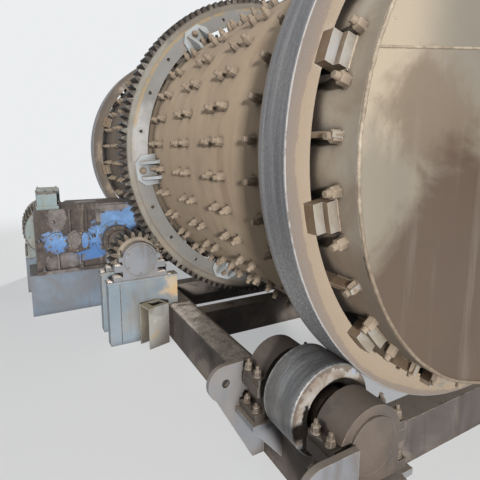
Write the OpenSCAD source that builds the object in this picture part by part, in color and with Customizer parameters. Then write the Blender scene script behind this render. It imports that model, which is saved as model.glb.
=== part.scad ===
// Ball mill carried on riding rings: a bolted-lining drum on four support rollers,
// turned by an open girth gear, a pinion and a parallel-shaft reducer.
// Frame: +Z up, +Y along the drum axis from the feed end to the discharge end,
// the drive on the -X side, origin on the floor under the middle of the drum.

/* [Drum] */
// Outer radius of the drum shell
shell_r = 1125; // [1105:5:1145]
// Thickness of the shell plate
shell_t = 25; // [16:1:40]
// Length of the drum between the outer faces of its ends
shell_len = 4900; // [4700:50:5200]
// Thickness of the flat end plates
head_t = 40; // [25:5:60]
// Height of the drum axis over the floor
axis_h = 1600; // [1560:10:1640]
// Inner radius of the feed neck
feed_neck_r = 250; // [200:10:300]
// Inner radius of the discharge neck
discharge_neck_r = 300; // [220:10:360]
// Length of each neck beyond the end plate
neck_len = 240; // [160:10:320]
// Wall of the necks
neck_t = 20; // [12:1:30]

/* [Riding rings] */
// Height of the pad bars between shell and ring
pad_h = 50; // [44:1:60]
// Thickness of the riding rings from bore to tread
ring_t = 115; // [105:5:125]
// Width of the riding rings
ring_w = 190; // [160:5:220]
// Distance of each ring's middle from the middle of the drum
ring_y = 2165; // [2100:5:2200]
// Edge chamfer of the riding rings
ring_chamfer = 6; // [3:1:16]
// Stop blocks round each face of a ring
block_count = 12; // [8:2:16]
// Length of a stop block round the shell
block_l = 120; // [80:5:150]
// Axial thickness of the tall bar of a stop block
block_bar_w = 58; // [40:2:70]
// Height of the tall bar over the shell
block_bar_h = 88; // [70:2:100]
// Axial thickness of the low bar of a stop block
block_step_w = 30; // [20:2:40]
// Height of the low bar over the shell
block_step_h = 46; // [30:2:60]
// Thickness of a pad bar under a ring
pad_t = 22; // [14:2:40]
// How far a pad bar sticks out of the ring
pad_out = 120; // [60:5:150]

/* [Girth gear] */
// Module of the gear and pinion teeth
gear_module = 20; // [19.6:0.1:20.2]
// Height of the gear's pitch circle over the shell, which sets its number of teeth
gear_stand = 255; // [235:5:275]
// Face width of the girth gear
gear_w = 170; // [140:5:200]
// Gap between the shell and the gear's web plate
web_gap = 56; // [40:2:70]
// Thickness of the gear's rim between the web plate and the tooth roots
rim_t = 44; // [38:1:56]
// Thickness of the web plate
web_t = 45; // [30:5:60]
// How far the web plate stands proud of the rim
web_proud = 12; // [4:1:24]
// Distance of the web's bolt circle from the plate's inner edge
web_bolt_in = 62; // [48:2:74]
// Bolt holes in the web, with the bracket bolts among them
web_holes = 24; // [12:6:36]
// Diameter of the web's bolt holes
web_hole_d = 30; // [22:1:36]
// Brackets that carry the gear on the shell, on each side
bracket_count = 6; // [4:2:8]

/* [Pinion drive] */
// Teeth of the pinion
pinion_teeth = 20; // [19:1:21]
// Face width of the pinion
pinion_w = 180; // [160:5:190]
// Angle of the pinion below the horizontal through the drum axis
pinion_angle = 34.2; // [31:0.2:37]
// Radius of the pinion shaft at its bearings
pinion_shaft_r = 75; // [60:1:85]
// Radius of the round body of a pinion bearing housing
pinion_housing_r = 147; // [135:1:160]
// Width of a pinion bearing housing along the shaft
pinion_housing_w = 80; // [70:2:110]
// Radius of the end cover on the near bearing
end_cover_r = 132; // [120:1:140]
// Radius of the slow coupling between pinion and reducer
coupling_r = 148; // [130:2:165]

/* [Support rollers] */
// Radius of the support rollers
roller_r = 210; // [200:1:216]
// Width of the support rollers
roller_w = 220; // [200:5:250]
// Angle of the rollers from straight below the drum
roller_angle = 43.5; // [43:0.5:47]
// Radius of the roller shafts at their bearings
roller_shaft_r = 60; // [45:1:70]
// Radius of the round body of a roller bearing housing
roller_housing_r = 158; // [145:1:165]
// Width of a roller bearing housing along the shaft
roller_housing_w = 150; // [120:5:170]

/* [Base frame] */
// Width of the long base beams
beam_w = 206; // [180:2:240]
// Height of the long base beams
beam_h = 284; // [270:2:290]
// Distance from the drum axis to the middle of a long beam
beam_x = 978; // [960:2:1000]
// Length of the long base beams
beam_len = 5560; // [5500:20:5700]
// Height of the pinion pedestals' tops over the floor
pinion_pedestal_h = 550; // [520:5:565]
// Diameter of the anchor bolt holes
anchor_hole_d = 34; // [26:1:42]

/* [Reducer and motor] */
// Distance from the pinion shaft to the middle shaft of the reducer
centre_slow = 360; // [340:5:380]
// Distance from the middle shaft to the fast shaft
centre_fast = 200; // [180:5:220]
// Front face of the reducer case, from the middle of the drum
reducer_y = 805; // [780:5:830]
// Depth of the reducer case along its shafts
reducer_d = 430; // [400:10:460]
// Top of the reducer case over its shafts
reducer_up = 372; // [350:2:390]
// Underside of the reducer's feet below its shafts
reducer_down = 300; // [280:2:320]
// Radius of the motor's ribbed body
motor_r = 300; // [280:5:320]
// Length of the motor's ribbed body
motor_len = 820; // [700:10:900]

/* [Hidden] */

round_fn = 180;
small_fn = 48;
// Running gap between two rolling surfaces
roll_gap = 0.3;
// Radial clearance of a shaft in its housing
shaft_gap = 0.08;
// Free space between pieces that turn and pieces that don't
free_gap = 12;

// Heads and necks
head_r = shell_r - 10;
neck_flange_r = 110;
neck_flange_t = 24;
weld_set = 2;

// Riding rings
ring_bore_r = shell_r + pad_h;
ring_r = ring_bore_r + ring_t;
block_phase = 11.3;
block_step = 360 / block_count;

// Girth gear and pinion
pressure_angle = 20;
backlash = 1.2;
gear_teeth = round(2 * (shell_r + gear_stand) / gear_module);
gear_pitch_r = gear_module * gear_teeth / 2;
gear_root_r = gear_pitch_r - 1.25 * gear_module;
pinion_pitch_r = gear_module * pinion_teeth / 2;
centre_distance = gear_pitch_r + pinion_pitch_r;
pinion_x = -centre_distance * cos(pinion_angle);
pinion_z = axis_h - centre_distance * sin(pinion_angle);
mesh_angle = 180 + pinion_angle;
rim_y = gear_w / 2;
web_face_y = rim_y + web_proud;
web_bore_r = shell_r + web_gap;
web_r = gear_root_r - rim_t;
web_bolt_r = web_bore_r + web_bolt_in;
bracket_phase = 6.9;
bracket_plate_t = 20;
bracket_plate_w = 256;
bracket_rib_t = 25;
bracket_rib_gap = 128;
bracket_reach = 124;
// Where the ribs' inner edges meet the shell
rib_seat = sqrt(pow(shell_r, 2) - pow(bracket_rib_gap / 2 - bracket_rib_t / 2, 2));
rim_seat_w = 20;
fillet_w = 14;

// Pinion shaft, bearings and pedestals
pinion_housing_y = 125;
pinion_foot_t = 34;
pinion_foot_w = 450;
roller_ear = 34;
roller_ear_drop = 0;
pinion_ear = 65;
pinion_ear_drop = 30;
base_ear_t = 54;
cap_ear = 28;
cap_ear_t = 38;
nose_w = 30;
nose_t = 14;
pedestal_left = 270;
pedestal_right = 317;
pedestal_d = 92;
pedestal_step = 96;
pedestal_plate_t = 14;
pedestal_top_t = 18;
pedestal_edge = 8;
pedestal_y = -pinion_housing_y - pinion_housing_w + 10;
coupling_y = 636;
coupling_t = 44;
coupling_split = 6;
coupling_hub_r = 108;
coupling_hub_l = 60;

// Support rollers
roller_centre = ring_r + roll_gap + roller_r;
roller_x = roller_centre * sin(roller_angle);
roller_z = axis_h - roller_centre * cos(roller_angle);
roller_rim_r = roller_r - 84;
roller_hub_r = roller_shaft_r + 36;
roller_housing_y = roller_w / 2 + 75;
roller_foot_w = 2 * roller_housing_r + 96;
roller_foot_t = 40;
roller_cover_r = 118;
seat_top = roller_z - roller_housing_r - 22;
seat_plate_t = 30;
seat_margin = 20;
lug_t = 28;
lug_out = 274;
lug_up = 134;
lug_r = 97;
lug_hole_d = 46;

// Base frame
cross_w = 150;
cross_h = beam_h - 30;
cross_y = 400;
anchor_y = 2600;
anchor_x = beam_x - beam_w / 2 - 90;

// Reducer and motor
shaft_h = pinion_z;
middle_x = pinion_x - centre_slow;
fast_x = middle_x - centre_fast;
case_left = fast_x - 190;
case_right = pinion_x + 300;
case_wall_y = reducer_y + reducer_d;
flange_t = 26;
flange_out = 30;
foot_out = 40;
foot_t = 36;
cover_t = 18;
output_cover_r = 180;
middle_cover_r = 106;
fast_cover_r = 86;
boss_margin = 22;
block_left = 190;
block_right = 240;
lid_step = 38;
lid_h = 150;
lid_inset = 40;
lid_left = 150;
lid_right = 37;
output_depth = 60;
motor_y = case_wall_y + 290;
motor_feet_h = 315;
motor_foot_out = motor_r - 10;
motor_foot_in = 80;
shield_l = 70;
box_lift = 8;

// An upright plate: the outline lies in X and Z, from y = from, width thick
module upright(from, width) {
    translate([0, from + width, 0]) rotate([90, 0, 0]) linear_extrude(width) children();
}

// A solid of revolution about an axis along +Y
module revolved(pts, fn = round_fn) {
    rotate([-90, 0, 0]) rotate_extrude($fn = fn) polygon(pts);
}

// A round bar along +Y from y = from
module bar_y(r, from, length, fn = small_fn) {
    translate([0, from, 0]) rotate([-90, 0, 0]) cylinder(r = r, h = length, $fn = fn);
}

module on_drum() translate([0, 0, axis_h]) children();

module on_pinion() translate([pinion_x, 0, pinion_z]) children();

// A copy at the far end of the drum
module far_end() mirror([0, 1, 0]) children();

// A place on the drum at angle a from +X towards +Z
module around(a) rotate([0, -a, 0]) children();

function involute(a) = tan(a) * 180 / PI - a;

// Half angle of a tooth at radius r
function tooth_half(r, teeth, pitch_r) = let (
    base_r = pitch_r * cos(pressure_angle),
    at_r = acos(min(1, base_r / max(r, base_r)))
) 90 / teeth - backlash / 2 / pitch_r * 90 / PI + involute(pressure_angle) - involute(at_r);

function tooth_side(teeth, pitch_r) = [
    for (f = [-1.25, -0.75, -0.25, 0.3, 1])
        let (r = pitch_r + f * gear_module) [r, tooth_half(r, teeth, pitch_r)]
];

// Outline of a whole toothed wheel with a tooth on +X turned by phase
function gear_outline(teeth, pitch_r, phase) = let (
    side = tooth_side(teeth, pitch_r),
    last = len(side) - 1
) [
    for (i = [0:teeth - 1]) let (mid = phase + 360 * i / teeth)
        for (k = [0:2 * last + 1])
            let (p = k <= last ? side[k] : side[2 * last + 1 - k], s = k <= last ? -1 : 1)
                p[0] * [cos(mid + s * p[1]), sin(mid + s * p[1])]
];

// Drum

module drum_shell() {
    half = shell_len / 2;
    color("#9a8a74") on_drum() revolved([
        [shell_r - shell_t, -half + head_t], [head_r, -half + head_t], [head_r, -half],
        [shell_r, -half], [shell_r, half], [head_r, half], [head_r, half - head_t],
        [shell_r - shell_t, half - head_t]
    ]);
}

module head(neck_r) {
    face = -shell_len / 2 + weld_set;
    color("#8c7660") on_drum() revolved([
        [neck_r + neck_t, face], [head_r, face], [head_r, face + head_t - weld_set],
        [neck_r + neck_t, face + head_t - weld_set]
    ]);
}

module neck(neck_r) {
    face = -shell_len / 2;
    color("#8a7a68") on_drum() revolved([
        [neck_r, face - neck_len], [neck_r + neck_flange_r, face - neck_len],
        [neck_r + neck_flange_r, face - neck_len + neck_flange_t],
        [neck_r + neck_t, face - neck_len + neck_flange_t], [neck_r + neck_t, face + head_t],
        [neck_r, face + head_t]
    ]);
}

module feed_head() head(feed_neck_r);

module discharge_head() far_end() head(discharge_neck_r);

module feed_neck() neck(feed_neck_r);

module discharge_neck() far_end() neck(discharge_neck_r);

// Riding rings, their pads and stop blocks

module riding_ring() {
    w = ring_w / 2;
    c = ring_chamfer;
    color("#6f6f70") on_drum() translate([0, -ring_y, 0]) revolved([
        [ring_bore_r, -w], [ring_r - c, -w], [ring_r, -w + c], [ring_r, w - c],
        [ring_r - c, w], [ring_bore_r, w]
    ]);
}

// The curved foot that seats a bar of width w and height h on the shell
module shell_bar(from, length, w, h) {
    translate([0, from, 0]) rotate([-90, 0, 0]) linear_extrude(length) intersection() {
        difference() {
            circle(r = shell_r + h, $fn = round_fn);
            circle(r = shell_r, $fn = round_fn);
        }
        translate([shell_r - 20, -w / 2]) square([h + 40, w]);
    }
}

module ring_pads() {
    color("#b3aca0") on_drum() for (i = [0:block_count - 1])
        around(block_phase + block_step * (i + 0.5))
            shell_bar(-ring_y - ring_w / 2 - pad_out, ring_w + 2 * pad_out, pad_t, pad_h);
}

module stop_block() {
    face = -ring_y - ring_w / 2;
    shell_bar(face - block_bar_w, block_bar_w, block_l, block_bar_h);
    shell_bar(face - block_bar_w - block_step_w, block_step_w, block_l, block_step_h);
}

module stop_blocks() {
    color("#a09a8e") on_drum() for (i = [0:block_count - 1])
        around(block_phase + block_step * i) {
            stop_block();
            translate([0, -2 * ring_y, 0]) mirror([0, 1, 0]) stop_block();
        }
}

module near_riding_ring() riding_ring();

module far_riding_ring() far_end() riding_ring();

module near_ring_pads() ring_pads();

module far_ring_pads() far_end() ring_pads();

module near_stop_blocks() stop_blocks();

module far_stop_blocks() far_end() stop_blocks();

// Girth gear, its web plate and brackets

module girth_gear() {
    color("#5d554b") on_drum() difference() {
        upright(-rim_y, gear_w)
            polygon(gear_outline(gear_teeth, gear_pitch_r, mesh_angle));
        bar_y(web_r - rim_seat_w, -rim_y - 1, gear_w + 2, round_fn);
        bar_y(web_r, -web_face_y, web_t, round_fn);
    }
}

module gear_web() {
    color("#8c8c8a") on_drum() difference() {
        revolved([
            [web_bore_r, -web_face_y], [web_r - fillet_w, -web_face_y], [web_r, -rim_y],
            [web_r, -web_face_y + web_t], [web_bore_r, -web_face_y + web_t]
        ]);
        for (i = [0:web_holes - 1]) around(bracket_phase + 360 * i / web_holes)
            translate([web_bolt_r, 0, 0])
                bar_y(web_hole_d / 2, -web_face_y - 1, web_t + 2);
    }
}

module bracket() {
    half = bracket_plate_w / 2;
    corner = 62;
    top = web_r - 14;
    face = -web_face_y - bracket_plate_t;
    rib_top = web_bolt_r + 18;
    rib_nose = 22;
    rib_low = shell_r + 34;
    upright(face, bracket_plate_t) difference() {
        polygon([
            [shell_r - 20, -half], [top - corner, -half], [top, -half + corner],
            [top, half - corner], [top - corner, half], [shell_r - 20, half]
        ]);
        circle(r = shell_r, $fn = round_fn);
        translate([web_bolt_r, 0]) circle(d = web_hole_d, $fn = small_fn);
    }
    for (s = [-1, 1]) translate([0, 0, s * bracket_rib_gap / 2 - bracket_rib_t / 2])
        linear_extrude(bracket_rib_t) polygon([
            [rib_seat, face], [rib_top, face], [rib_top, face - rib_nose],
            [rib_low, face - bracket_reach], [rib_seat, face - bracket_reach]
        ]);
}

module gear_brackets() {
    color("#9b9a92") on_drum() for (i = [0:bracket_count - 1])
        around(bracket_phase + 360 * i / bracket_count) bracket();
}

// Pinion and slow coupling

module pinion() {
    w = pinion_w / 2;
    near_end = -pinion_housing_y - pinion_housing_w + 10;
    collar = pinion_housing_y - nose_t - free_gap;
    color("#93836f") on_pinion() {
        upright(-w, pinion_w) polygon(gear_outline(
            pinion_teeth, pinion_pitch_r, pinion_angle + 180 / pinion_teeth));
        bar_y(pinion_shaft_r, near_end, coupling_y - near_end, round_fn);
        bar_y(pinion_shaft_r + 20, -collar, 2 * collar);
    }
}

module slow_coupling() {
    first = coupling_y + coupling_t;
    second = first + coupling_split;
    bore = pinion_shaft_r + shaft_gap;
    edge = 5;
    groove = 14;
    groove_d = 8;
    color("#5b5450") on_pinion() {
        revolved([
            [0, coupling_y], [bore, coupling_y], [bore, coupling_y - coupling_hub_l],
            [coupling_hub_r - edge, coupling_y - coupling_hub_l],
            [coupling_hub_r, coupling_y - coupling_hub_l + edge],
            [coupling_hub_r, coupling_y + groove_d],
            [coupling_hub_r + groove, coupling_y + groove_d],
            [coupling_hub_r + groove, coupling_y], [coupling_r - edge, coupling_y],
            [coupling_r, coupling_y + edge], [coupling_r, first], [0, first]
        ]);
        bar_y(coupling_r, second, coupling_t, round_fn);
        bar_y(coupling_hub_r, first, coupling_t + coupling_split + groove_d, round_fn);
        bar_y(pinion_shaft_r, second, reducer_y + output_depth - edge - second, round_fn);
    }
}

// Support rollers

module roller() {
    w = roller_w / 2;
    rim = roller_rim_r;
    web = roller_w / 5;
    hub = roller_hub_r;
    hub_y = w + 14;
    edge = 6;
    shaft_end = roller_housing_y + roller_housing_w - 16;
    color("#7d7a76") translate([0, -ring_y, 0]) revolved([
        [0, -shaft_end], [roller_shaft_r, -shaft_end], [roller_shaft_r, -hub_y], [hub, -hub_y],
        [hub, -web], [rim - edge, -web], [rim, -w + edge], [rim + edge, -w], [roller_r - edge, -w],
        [roller_r, -w + edge], [roller_r, w - edge], [roller_r - edge, w], [rim + edge, w],
        [rim, w - edge], [rim - edge, web], [hub, web], [hub, hub_y], [roller_shaft_r, hub_y],
        [roller_shaft_r, shaft_end], [0, shaft_end]
    ]);
}

module left_roller() translate([-roller_x, 0, roller_z]) roller();

module right_roller() translate([roller_x, 0, roller_z]) roller();

module near_left_roller() left_roller();

module near_right_roller() right_roller();

module far_left_roller() far_end() left_roller();

module far_right_roller() far_end() right_roller();

// Split bearing housings, standing at y = from with their bore along +Y

module half_disc(r, side) {
    intersection() {
        circle(r = r, $fn = round_fn);
        translate([-r, side > 0 ? 0 : -r]) square([2 * r, r]);
    }
}

// The seal nose round the bore, on the face towards the middle of the shaft
module nose(from, bore_r, side) {
    upright(from, nose_t) difference() {
        half_disc(bore_r + nose_w, side);
        circle(r = bore_r, $fn = round_fn);
    }
}

module housing_base(from, width, body_r, bore_r, foot_w, foot_t, drop, ear_w, ear_drop) {
    ear = body_r + ear_w;
    upright(from, width) difference() {
        union() {
            translate([-body_r, -drop]) square([2 * body_r, drop]);
            translate([-foot_w / 2, -drop]) square([foot_w, foot_t]);
            translate([-ear, -ear_drop - base_ear_t]) square([2 * ear, base_ear_t]);
        }
        circle(r = bore_r, $fn = round_fn);
    }
    nose(from < 0 ? 0 : -nose_t, bore_r, -1);
}

module housing_cap(from, width, body_r, bore_r) {
    ear = body_r + cap_ear;
    upright(from, width) difference() {
        union() {
            half_disc(body_r, 1);
            translate([-ear, 0]) square([2 * ear, cap_ear_t]);
        }
        circle(r = bore_r, $fn = round_fn);
    }
    nose(from < 0 ? 0 : -nose_t, bore_r, 1);
}

module roller_bases() {
    drop = roller_z - seat_top;
    color("#574d44") for (side = [-1, 1], end = [-1, 1])
        translate([side * roller_x, -ring_y + end * roller_housing_y, roller_z])
            housing_base(end < 0 ? -roller_housing_w : 0, roller_housing_w, roller_housing_r,
                roller_shaft_r + shaft_gap, roller_foot_w, roller_foot_t, drop, roller_ear,
                roller_ear_drop);
}

// The caps carry the covers that close the bores at the shaft ends
module roller_caps() {
    outer = roller_housing_y + roller_housing_w;
    cap_t = 12;
    color("#5b5148") for (side = [-1, 1], end = [-1, 1])
        translate([side * roller_x, -ring_y, roller_z]) {
            translate([0, end * roller_housing_y, 0])
                housing_cap(end < 0 ? -roller_housing_w : 0, roller_housing_w,
                    roller_housing_r, roller_shaft_r + shaft_gap);
            bar_y(roller_cover_r, end < 0 ? -outer - cap_t : outer, cap_t, round_fn);
        }
}

module near_bearing_bases() roller_bases();

module near_bearing_caps() roller_caps();

module far_bearing_bases() far_end() roller_bases();

module far_bearing_caps() far_end() roller_caps();

module pinion_bearing_bases() {
    drop = pinion_z - pinion_pedestal_h;
    color("#7b7f80") on_pinion() for (end = [-1, 1])
        translate([0, end * pinion_housing_y, 0])
            housing_base(end < 0 ? -pinion_housing_w : 0, pinion_housing_w, pinion_housing_r,
                pinion_shaft_r + shaft_gap, pinion_foot_w, pinion_foot_t, drop, pinion_ear,
                pinion_ear_drop);
}

module pinion_bearing_caps() {
    color("#7b7f80") on_pinion() for (end = [-1, 1])
        translate([0, end * pinion_housing_y, 0])
            housing_cap(end < 0 ? -pinion_housing_w : 0, pinion_housing_w, pinion_housing_r,
                pinion_shaft_r + shaft_gap);
}

module pinion_end_cover() {
    front = -pinion_housing_y - pinion_housing_w;
    color("#9aa0a1") on_pinion() revolved([
        [0, front - 12], [end_cover_r - 4, front - 12], [end_cover_r, front - 8],
        [end_cover_r, front], [0, front]
    ]);
}

// Base frame

module long_beam() {
    wall = 12;
    translate([beam_x - beam_w / 2, -beam_len / 2, 0]) difference() {
        cube([beam_w, beam_len, beam_h]);
        translate([wall, wall, wall])
            cube([beam_w - 2 * wall, beam_len - 2 * wall, beam_h - 2 * wall]);
    }
}

module left_beam() color("#7e756d") mirror([1, 0, 0]) long_beam();

module right_beam() color("#7e756d") long_beam();

module cross_beams() {
    inner = beam_x - beam_w / 2;
    color("#5f5b59") for (y = [-ring_y, -cross_y, cross_y, ring_y])
        translate([-inner, y - cross_w / 2, 0]) difference() {
            cube([2 * inner, cross_w, cross_h]);
            translate([-1, 12, 12]) cube([2 * inner + 2, cross_w - 24, cross_h - 24]);
        }
}

module anchor_plates() {
    color("#6b645d") for (x = [-anchor_x, anchor_x], y = [-anchor_y, anchor_y])
        translate([x, y, 0]) difference() {
            translate([-90, -110, 0]) cube([180, 220, 25]);
            translate([0, 0, -1]) cylinder(d = anchor_hole_d, h = 27, $fn = small_fn);
        }
}

// A pair of bearing pads with the lug plates that brace them, on the right at the near end
module roller_seat() {
    half = roller_foot_w / 2 + seat_margin;
    pad_near = roller_housing_y - seat_margin;
    pad_far = roller_housing_y + roller_housing_w + seat_margin;
    pad_in = roller_x - half;
    pad_end = roller_x + half;
    under = seat_top - seat_plate_t;
    beam_in = beam_x - beam_w / 2;
    beam_out = beam_x + beam_w / 2;
    gusset_t = 16;
    for (end = [0, 1]) translate([0, -ring_y, 0]) mirror([0, end, 0]) {
        translate([pad_in, pad_near, under]) cube([2 * half, pad_far - pad_near, seat_plate_t]);
        translate([beam_in, pad_near, beam_h]) cube([beam_w, pad_far - pad_near, under - beam_h]);
        upright(pad_near + seat_margin, gusset_t)
            polygon([[beam_out, under], [beam_out, beam_h / 3], [pad_end, under]]);
        upright(pad_far, lug_t) lug_outline(beam_in, beam_out);
    }
}

module lug_outline(beam_in, beam_out) {
    lug_x = roller_x + lug_out;
    lug_z = seat_top + lug_up;
    inner_top = lug_x - 165;
    floor_w = 70;
    difference() {
        union() {
            polygon([
                [beam_out, 0], [beam_out + floor_w, 0], [lug_x + lug_r, lug_z],
                [lug_x, lug_z + lug_r], [inner_top, lug_z + lug_r], [inner_top, seat_top],
                [beam_in, seat_top], [beam_in, beam_h], [beam_out, beam_h]
            ]);
            translate([lug_x, lug_z]) circle(r = lug_r, $fn = round_fn);
        }
        translate([lug_x, lug_z]) circle(d = lug_hole_d, $fn = small_fn);
    }
}

module near_right_seat() color("#6b6c70") roller_seat();

module near_left_seat() color("#6b6c70") mirror([1, 0, 0]) roller_seat();

module far_right_seat() far_end() near_right_seat();

module far_left_seat() far_end() near_left_seat();

// Pinion pedestals: a welded box whose inner part stands on the long beam

module pinion_pedestal() {
    left = pinion_x - pedestal_left;
    right = pinion_x + pedestal_right;
    beam_side = -beam_x - beam_w / 2;
    seam_w = 6;
    step = left + pedestal_step;
    under_top = pinion_pedestal_h - pedestal_top_t;
    front = pedestal_y - pedestal_plate_t;
    upright(pedestal_y, pedestal_d) polygon([
        [left, 0], [beam_side, 0], [beam_side, beam_h], [right, beam_h], [right, under_top],
        [left, under_top]
    ]);
    upright(front, pedestal_plate_t) polygon([
        [step, 0], [beam_side, 0], [beam_side, beam_h], [right, beam_h], [right, under_top],
        [step, under_top]
    ]);
    upright(front, pedestal_plate_t)
        translate([left, 0]) square([pedestal_step - seam_w, under_top]);
    translate([left - pedestal_edge, front - pedestal_edge, under_top])
        cube([right - left + 2 * pedestal_edge, pedestal_edge + pedestal_plate_t + pedestal_d,
            pedestal_top_t]);
}

module near_pinion_pedestal() color("#94a0a5") pinion_pedestal();

module far_pinion_pedestal() color("#8f989b") far_end() pinion_pedestal();

// A piece of channel set upright before the near pedestal, its open side to the left,
// turned a little, with its back corner at the pedestal's plate
module channel_bracket() {
    w = 189;
    d = 151;
    t = 12;
    top = 350;
    turn = 16;
    slot_x = 60;
    slot_y = 40;
    corner_x = pinion_x + 144;
    corner_y = pedestal_y - pedestal_plate_t - roll_gap;
    color("#a89f88") translate([corner_x, corner_y, 0]) rotate([0, 0, turn])
        translate([-w, -d, 0]) difference() {
            cube([w, d, top]);
            translate([-1, t, -1]) cube([w - t + 1, d - 2 * t, top - t + 1]);
            translate([slot_x, slot_y, top - t - 1])
                cube([w - slot_x - t, d - slot_y - 2 * t, t + 2]);
        }
}

// Reducer

module case_outline(low, high) {
    translate([case_left, low]) square([case_right - case_left, high - low]);
}

// The same thing on both faces of the case
module both_faces() {
    children();
    translate([0, 2 * reducer_y + reducer_d, 0]) mirror([0, 1, 0]) children();
}

// The blind bore that the slow shaft turns in
module output_bore() {
    depth = foot_out + output_depth;
    translate([pinion_x, 0, shaft_h])
        bar_y(pinion_shaft_r + shaft_gap, reducer_y - foot_out, depth, round_fn);
}

// Half of each bearing boss, above the split with side 1 and below it with side -1
module bosses(side) {
    for (b = [[pinion_x, output_cover_r], [middle_x, middle_cover_r], [fast_x, fast_cover_r]])
        translate([b[0], 0, shaft_h]) upright(reducer_y - flange_out, flange_out)
            half_disc(b[1] + boss_margin, side);
}

module case_rib(x, low, high) {
    rib_t = 18;
    translate([x - rib_t / 2, reducer_y - flange_out, low])
        cube([rib_t, flange_out, high - low]);
}

module reducer_pedestal() {
    left = case_left - 70;
    right = -beam_x - beam_w / 2 - 4;
    margin = 20;
    color("#8b9499") translate([left, reducer_y - margin, 0])
        cube([right - left, reducer_d + 2 * margin, shaft_h - reducer_down]);
}

module reducer_lower_case() {
    low = shaft_h - reducer_down;
    color("#3f5f8f") difference() {
        union() {
            upright(reducer_y, reducer_d) case_outline(low, shaft_h);
            upright(reducer_y - foot_out, reducer_d + 2 * foot_out)
                case_outline(low, low + foot_t);
            upright(reducer_y - flange_out, reducer_d + 2 * flange_out)
                case_outline(shaft_h - flange_t, shaft_h);
            both_faces() {
                bosses(-1);
                for (x = [pinion_x, middle_x, fast_x]) case_rib(x, low + foot_t, shaft_h - flange_t);
            }
        }
        output_bore();
    }
}

module reducer_upper_case() {
    top = shaft_h + reducer_up;
    shoulder = shaft_h + 260;
    rib_gap = 156;
    color("#3f5f8f") difference() {
        union() {
            upright(reducer_y, reducer_d) polygon([
                [case_left, shaft_h], [case_right, shaft_h], [case_right, shoulder],
                [pinion_x + block_right, top - 20], [pinion_x + 60, top], [middle_x - 60, top],
                [fast_x + lid_right + 20, top - lid_step], [case_left + 20, top - lid_step],
                [case_left, shoulder]
            ]);
            upright(reducer_y - flange_out, reducer_d + 2 * flange_out)
                case_outline(shaft_h, shaft_h + flange_t);
            both_faces() {
                bosses(1);
                translate([pinion_x - block_left, reducer_y - flange_out, shaft_h])
                    cube([block_left + block_right, flange_out, reducer_up - 20]);
                for (s = [-1, 1]) case_rib(middle_x + s * rib_gap / 2, shaft_h, top - lid_step);
            }
        }
        output_bore();
    }
}

module cover(x, r) {
    translate([x, 0, shaft_h]) bar_y(r, reducer_y - flange_out - cover_t, cover_t, round_fn);
}

module reducer_covers() {
    color("#4a6fa8") difference() {
        both_faces() {
            cover(middle_x, middle_cover_r);
            cover(fast_x, fast_cover_r);
            cover(pinion_x, output_cover_r);
        }
        translate([pinion_x, 0, shaft_h])
            bar_y(pinion_shaft_r + 6, reducer_y - flange_out - cover_t - 1, cover_t + 2, round_fn);
    }
}

// The box over the fast end of the case, on its flange
module inspection_cover() {
    rim_h = 34;
    edge = 12;
    w = lid_left + lid_right;
    d = reducer_d - 2 * lid_inset;
    color("#7d9296")
        translate([fast_x - lid_left, reducer_y + lid_inset, shaft_h + reducer_up - lid_step]) {
            translate([-edge, -edge, 0]) cube([w + edge, d + 2 * edge, rim_h]);
            translate([0, 0, rim_h]) cube([w - edge, d, lid_h - rim_h]);
        }
}

// Motor

module on_motor() translate([fast_x, motor_y, shaft_h]) children();

module motor_pedestal() {
    inset = motor_foot_in - 20;
    color("#8b9499") translate([fast_x - motor_foot_out, motor_y + inset, 0])
        cube([2 * motor_foot_out, motor_len - 2 * inset, shaft_h - motor_feet_h]);
}

module motor_body() {
    ribs = 40;
    rib_h = 34;
    rib_t = 6;
    rib_in = 30;
    neck_w = 200;
    neck_from = 270;
    foot_in = motor_foot_out - 120;
    foot_top = 30 - motor_feet_h;
    color("#4d6b74") on_motor() {
        bar_y(motor_r - rib_h, 0, motor_len, round_fn);
        for (i = [0:ribs - 1]) rotate([0, 360 * (i + 0.5) / ribs, 0])
            translate([motor_r - rib_h - 6, rib_in, -rib_t / 2])
                cube([rib_h + 6, motor_len - 2 * rib_in, rib_t]);
        translate([-neck_w / 2, neck_from, neck_w])
            cube([neck_w, neck_w, motor_r + box_lift - neck_w]);
        for (s = [-1, 1]) upright(motor_foot_in, motor_len - 2 * motor_foot_in) polygon([
            [s * motor_r / 2, -motor_r * 2 / 3], [s * (motor_foot_out - 40), -motor_r / 2],
            [s * (motor_foot_out - 25), foot_top], [s * motor_foot_out, foot_top],
            [s * motor_foot_out, -motor_feet_h], [s * foot_in, -motor_feet_h]
        ]);
    }
}

module motor_end_shield() {
    color("#4d6b74") on_motor() revolved([
        [0, -shield_l], [50, -shield_l], [90, 4 - shield_l], [110, -shield_l / 2],
        [motor_r - 30, -28], [motor_r - 20, 0], [0, 0]
    ]);
}

module motor_fan_cowl() {
    cowl_l = 210;
    slope = 40;
    color("#46606a") on_motor() revolved([
        [0, motor_len], [motor_r - 24, motor_len], [motor_r - 20, motor_len + cowl_l - slope],
        [motor_r - 20 - slope, motor_len + cowl_l], [0, motor_len + cowl_l]
    ]);
}

module terminal_box() {
    box_w = 240;
    box_l = 260;
    box_h = 150;
    color("#4d6b74") on_motor() translate([-box_w / 2, box_w, motor_r + box_lift])
        cube([box_w, box_l, box_h]);
}

module fast_coupling() {
    start = case_wall_y + flange_out + cover_t;
    half_l = 60;
    split = 6;
    first = (start + motor_y - shield_l - split) / 2 - half_l;
    disc_r = 110;
    color("#5b5450") translate([fast_x, 0, shaft_h]) {
        bar_y(disc_r, first, half_l);
        bar_y(disc_r, first + half_l + split, half_l);
        bar_y(38, start, motor_y - shield_l - start);
    }
}

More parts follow.
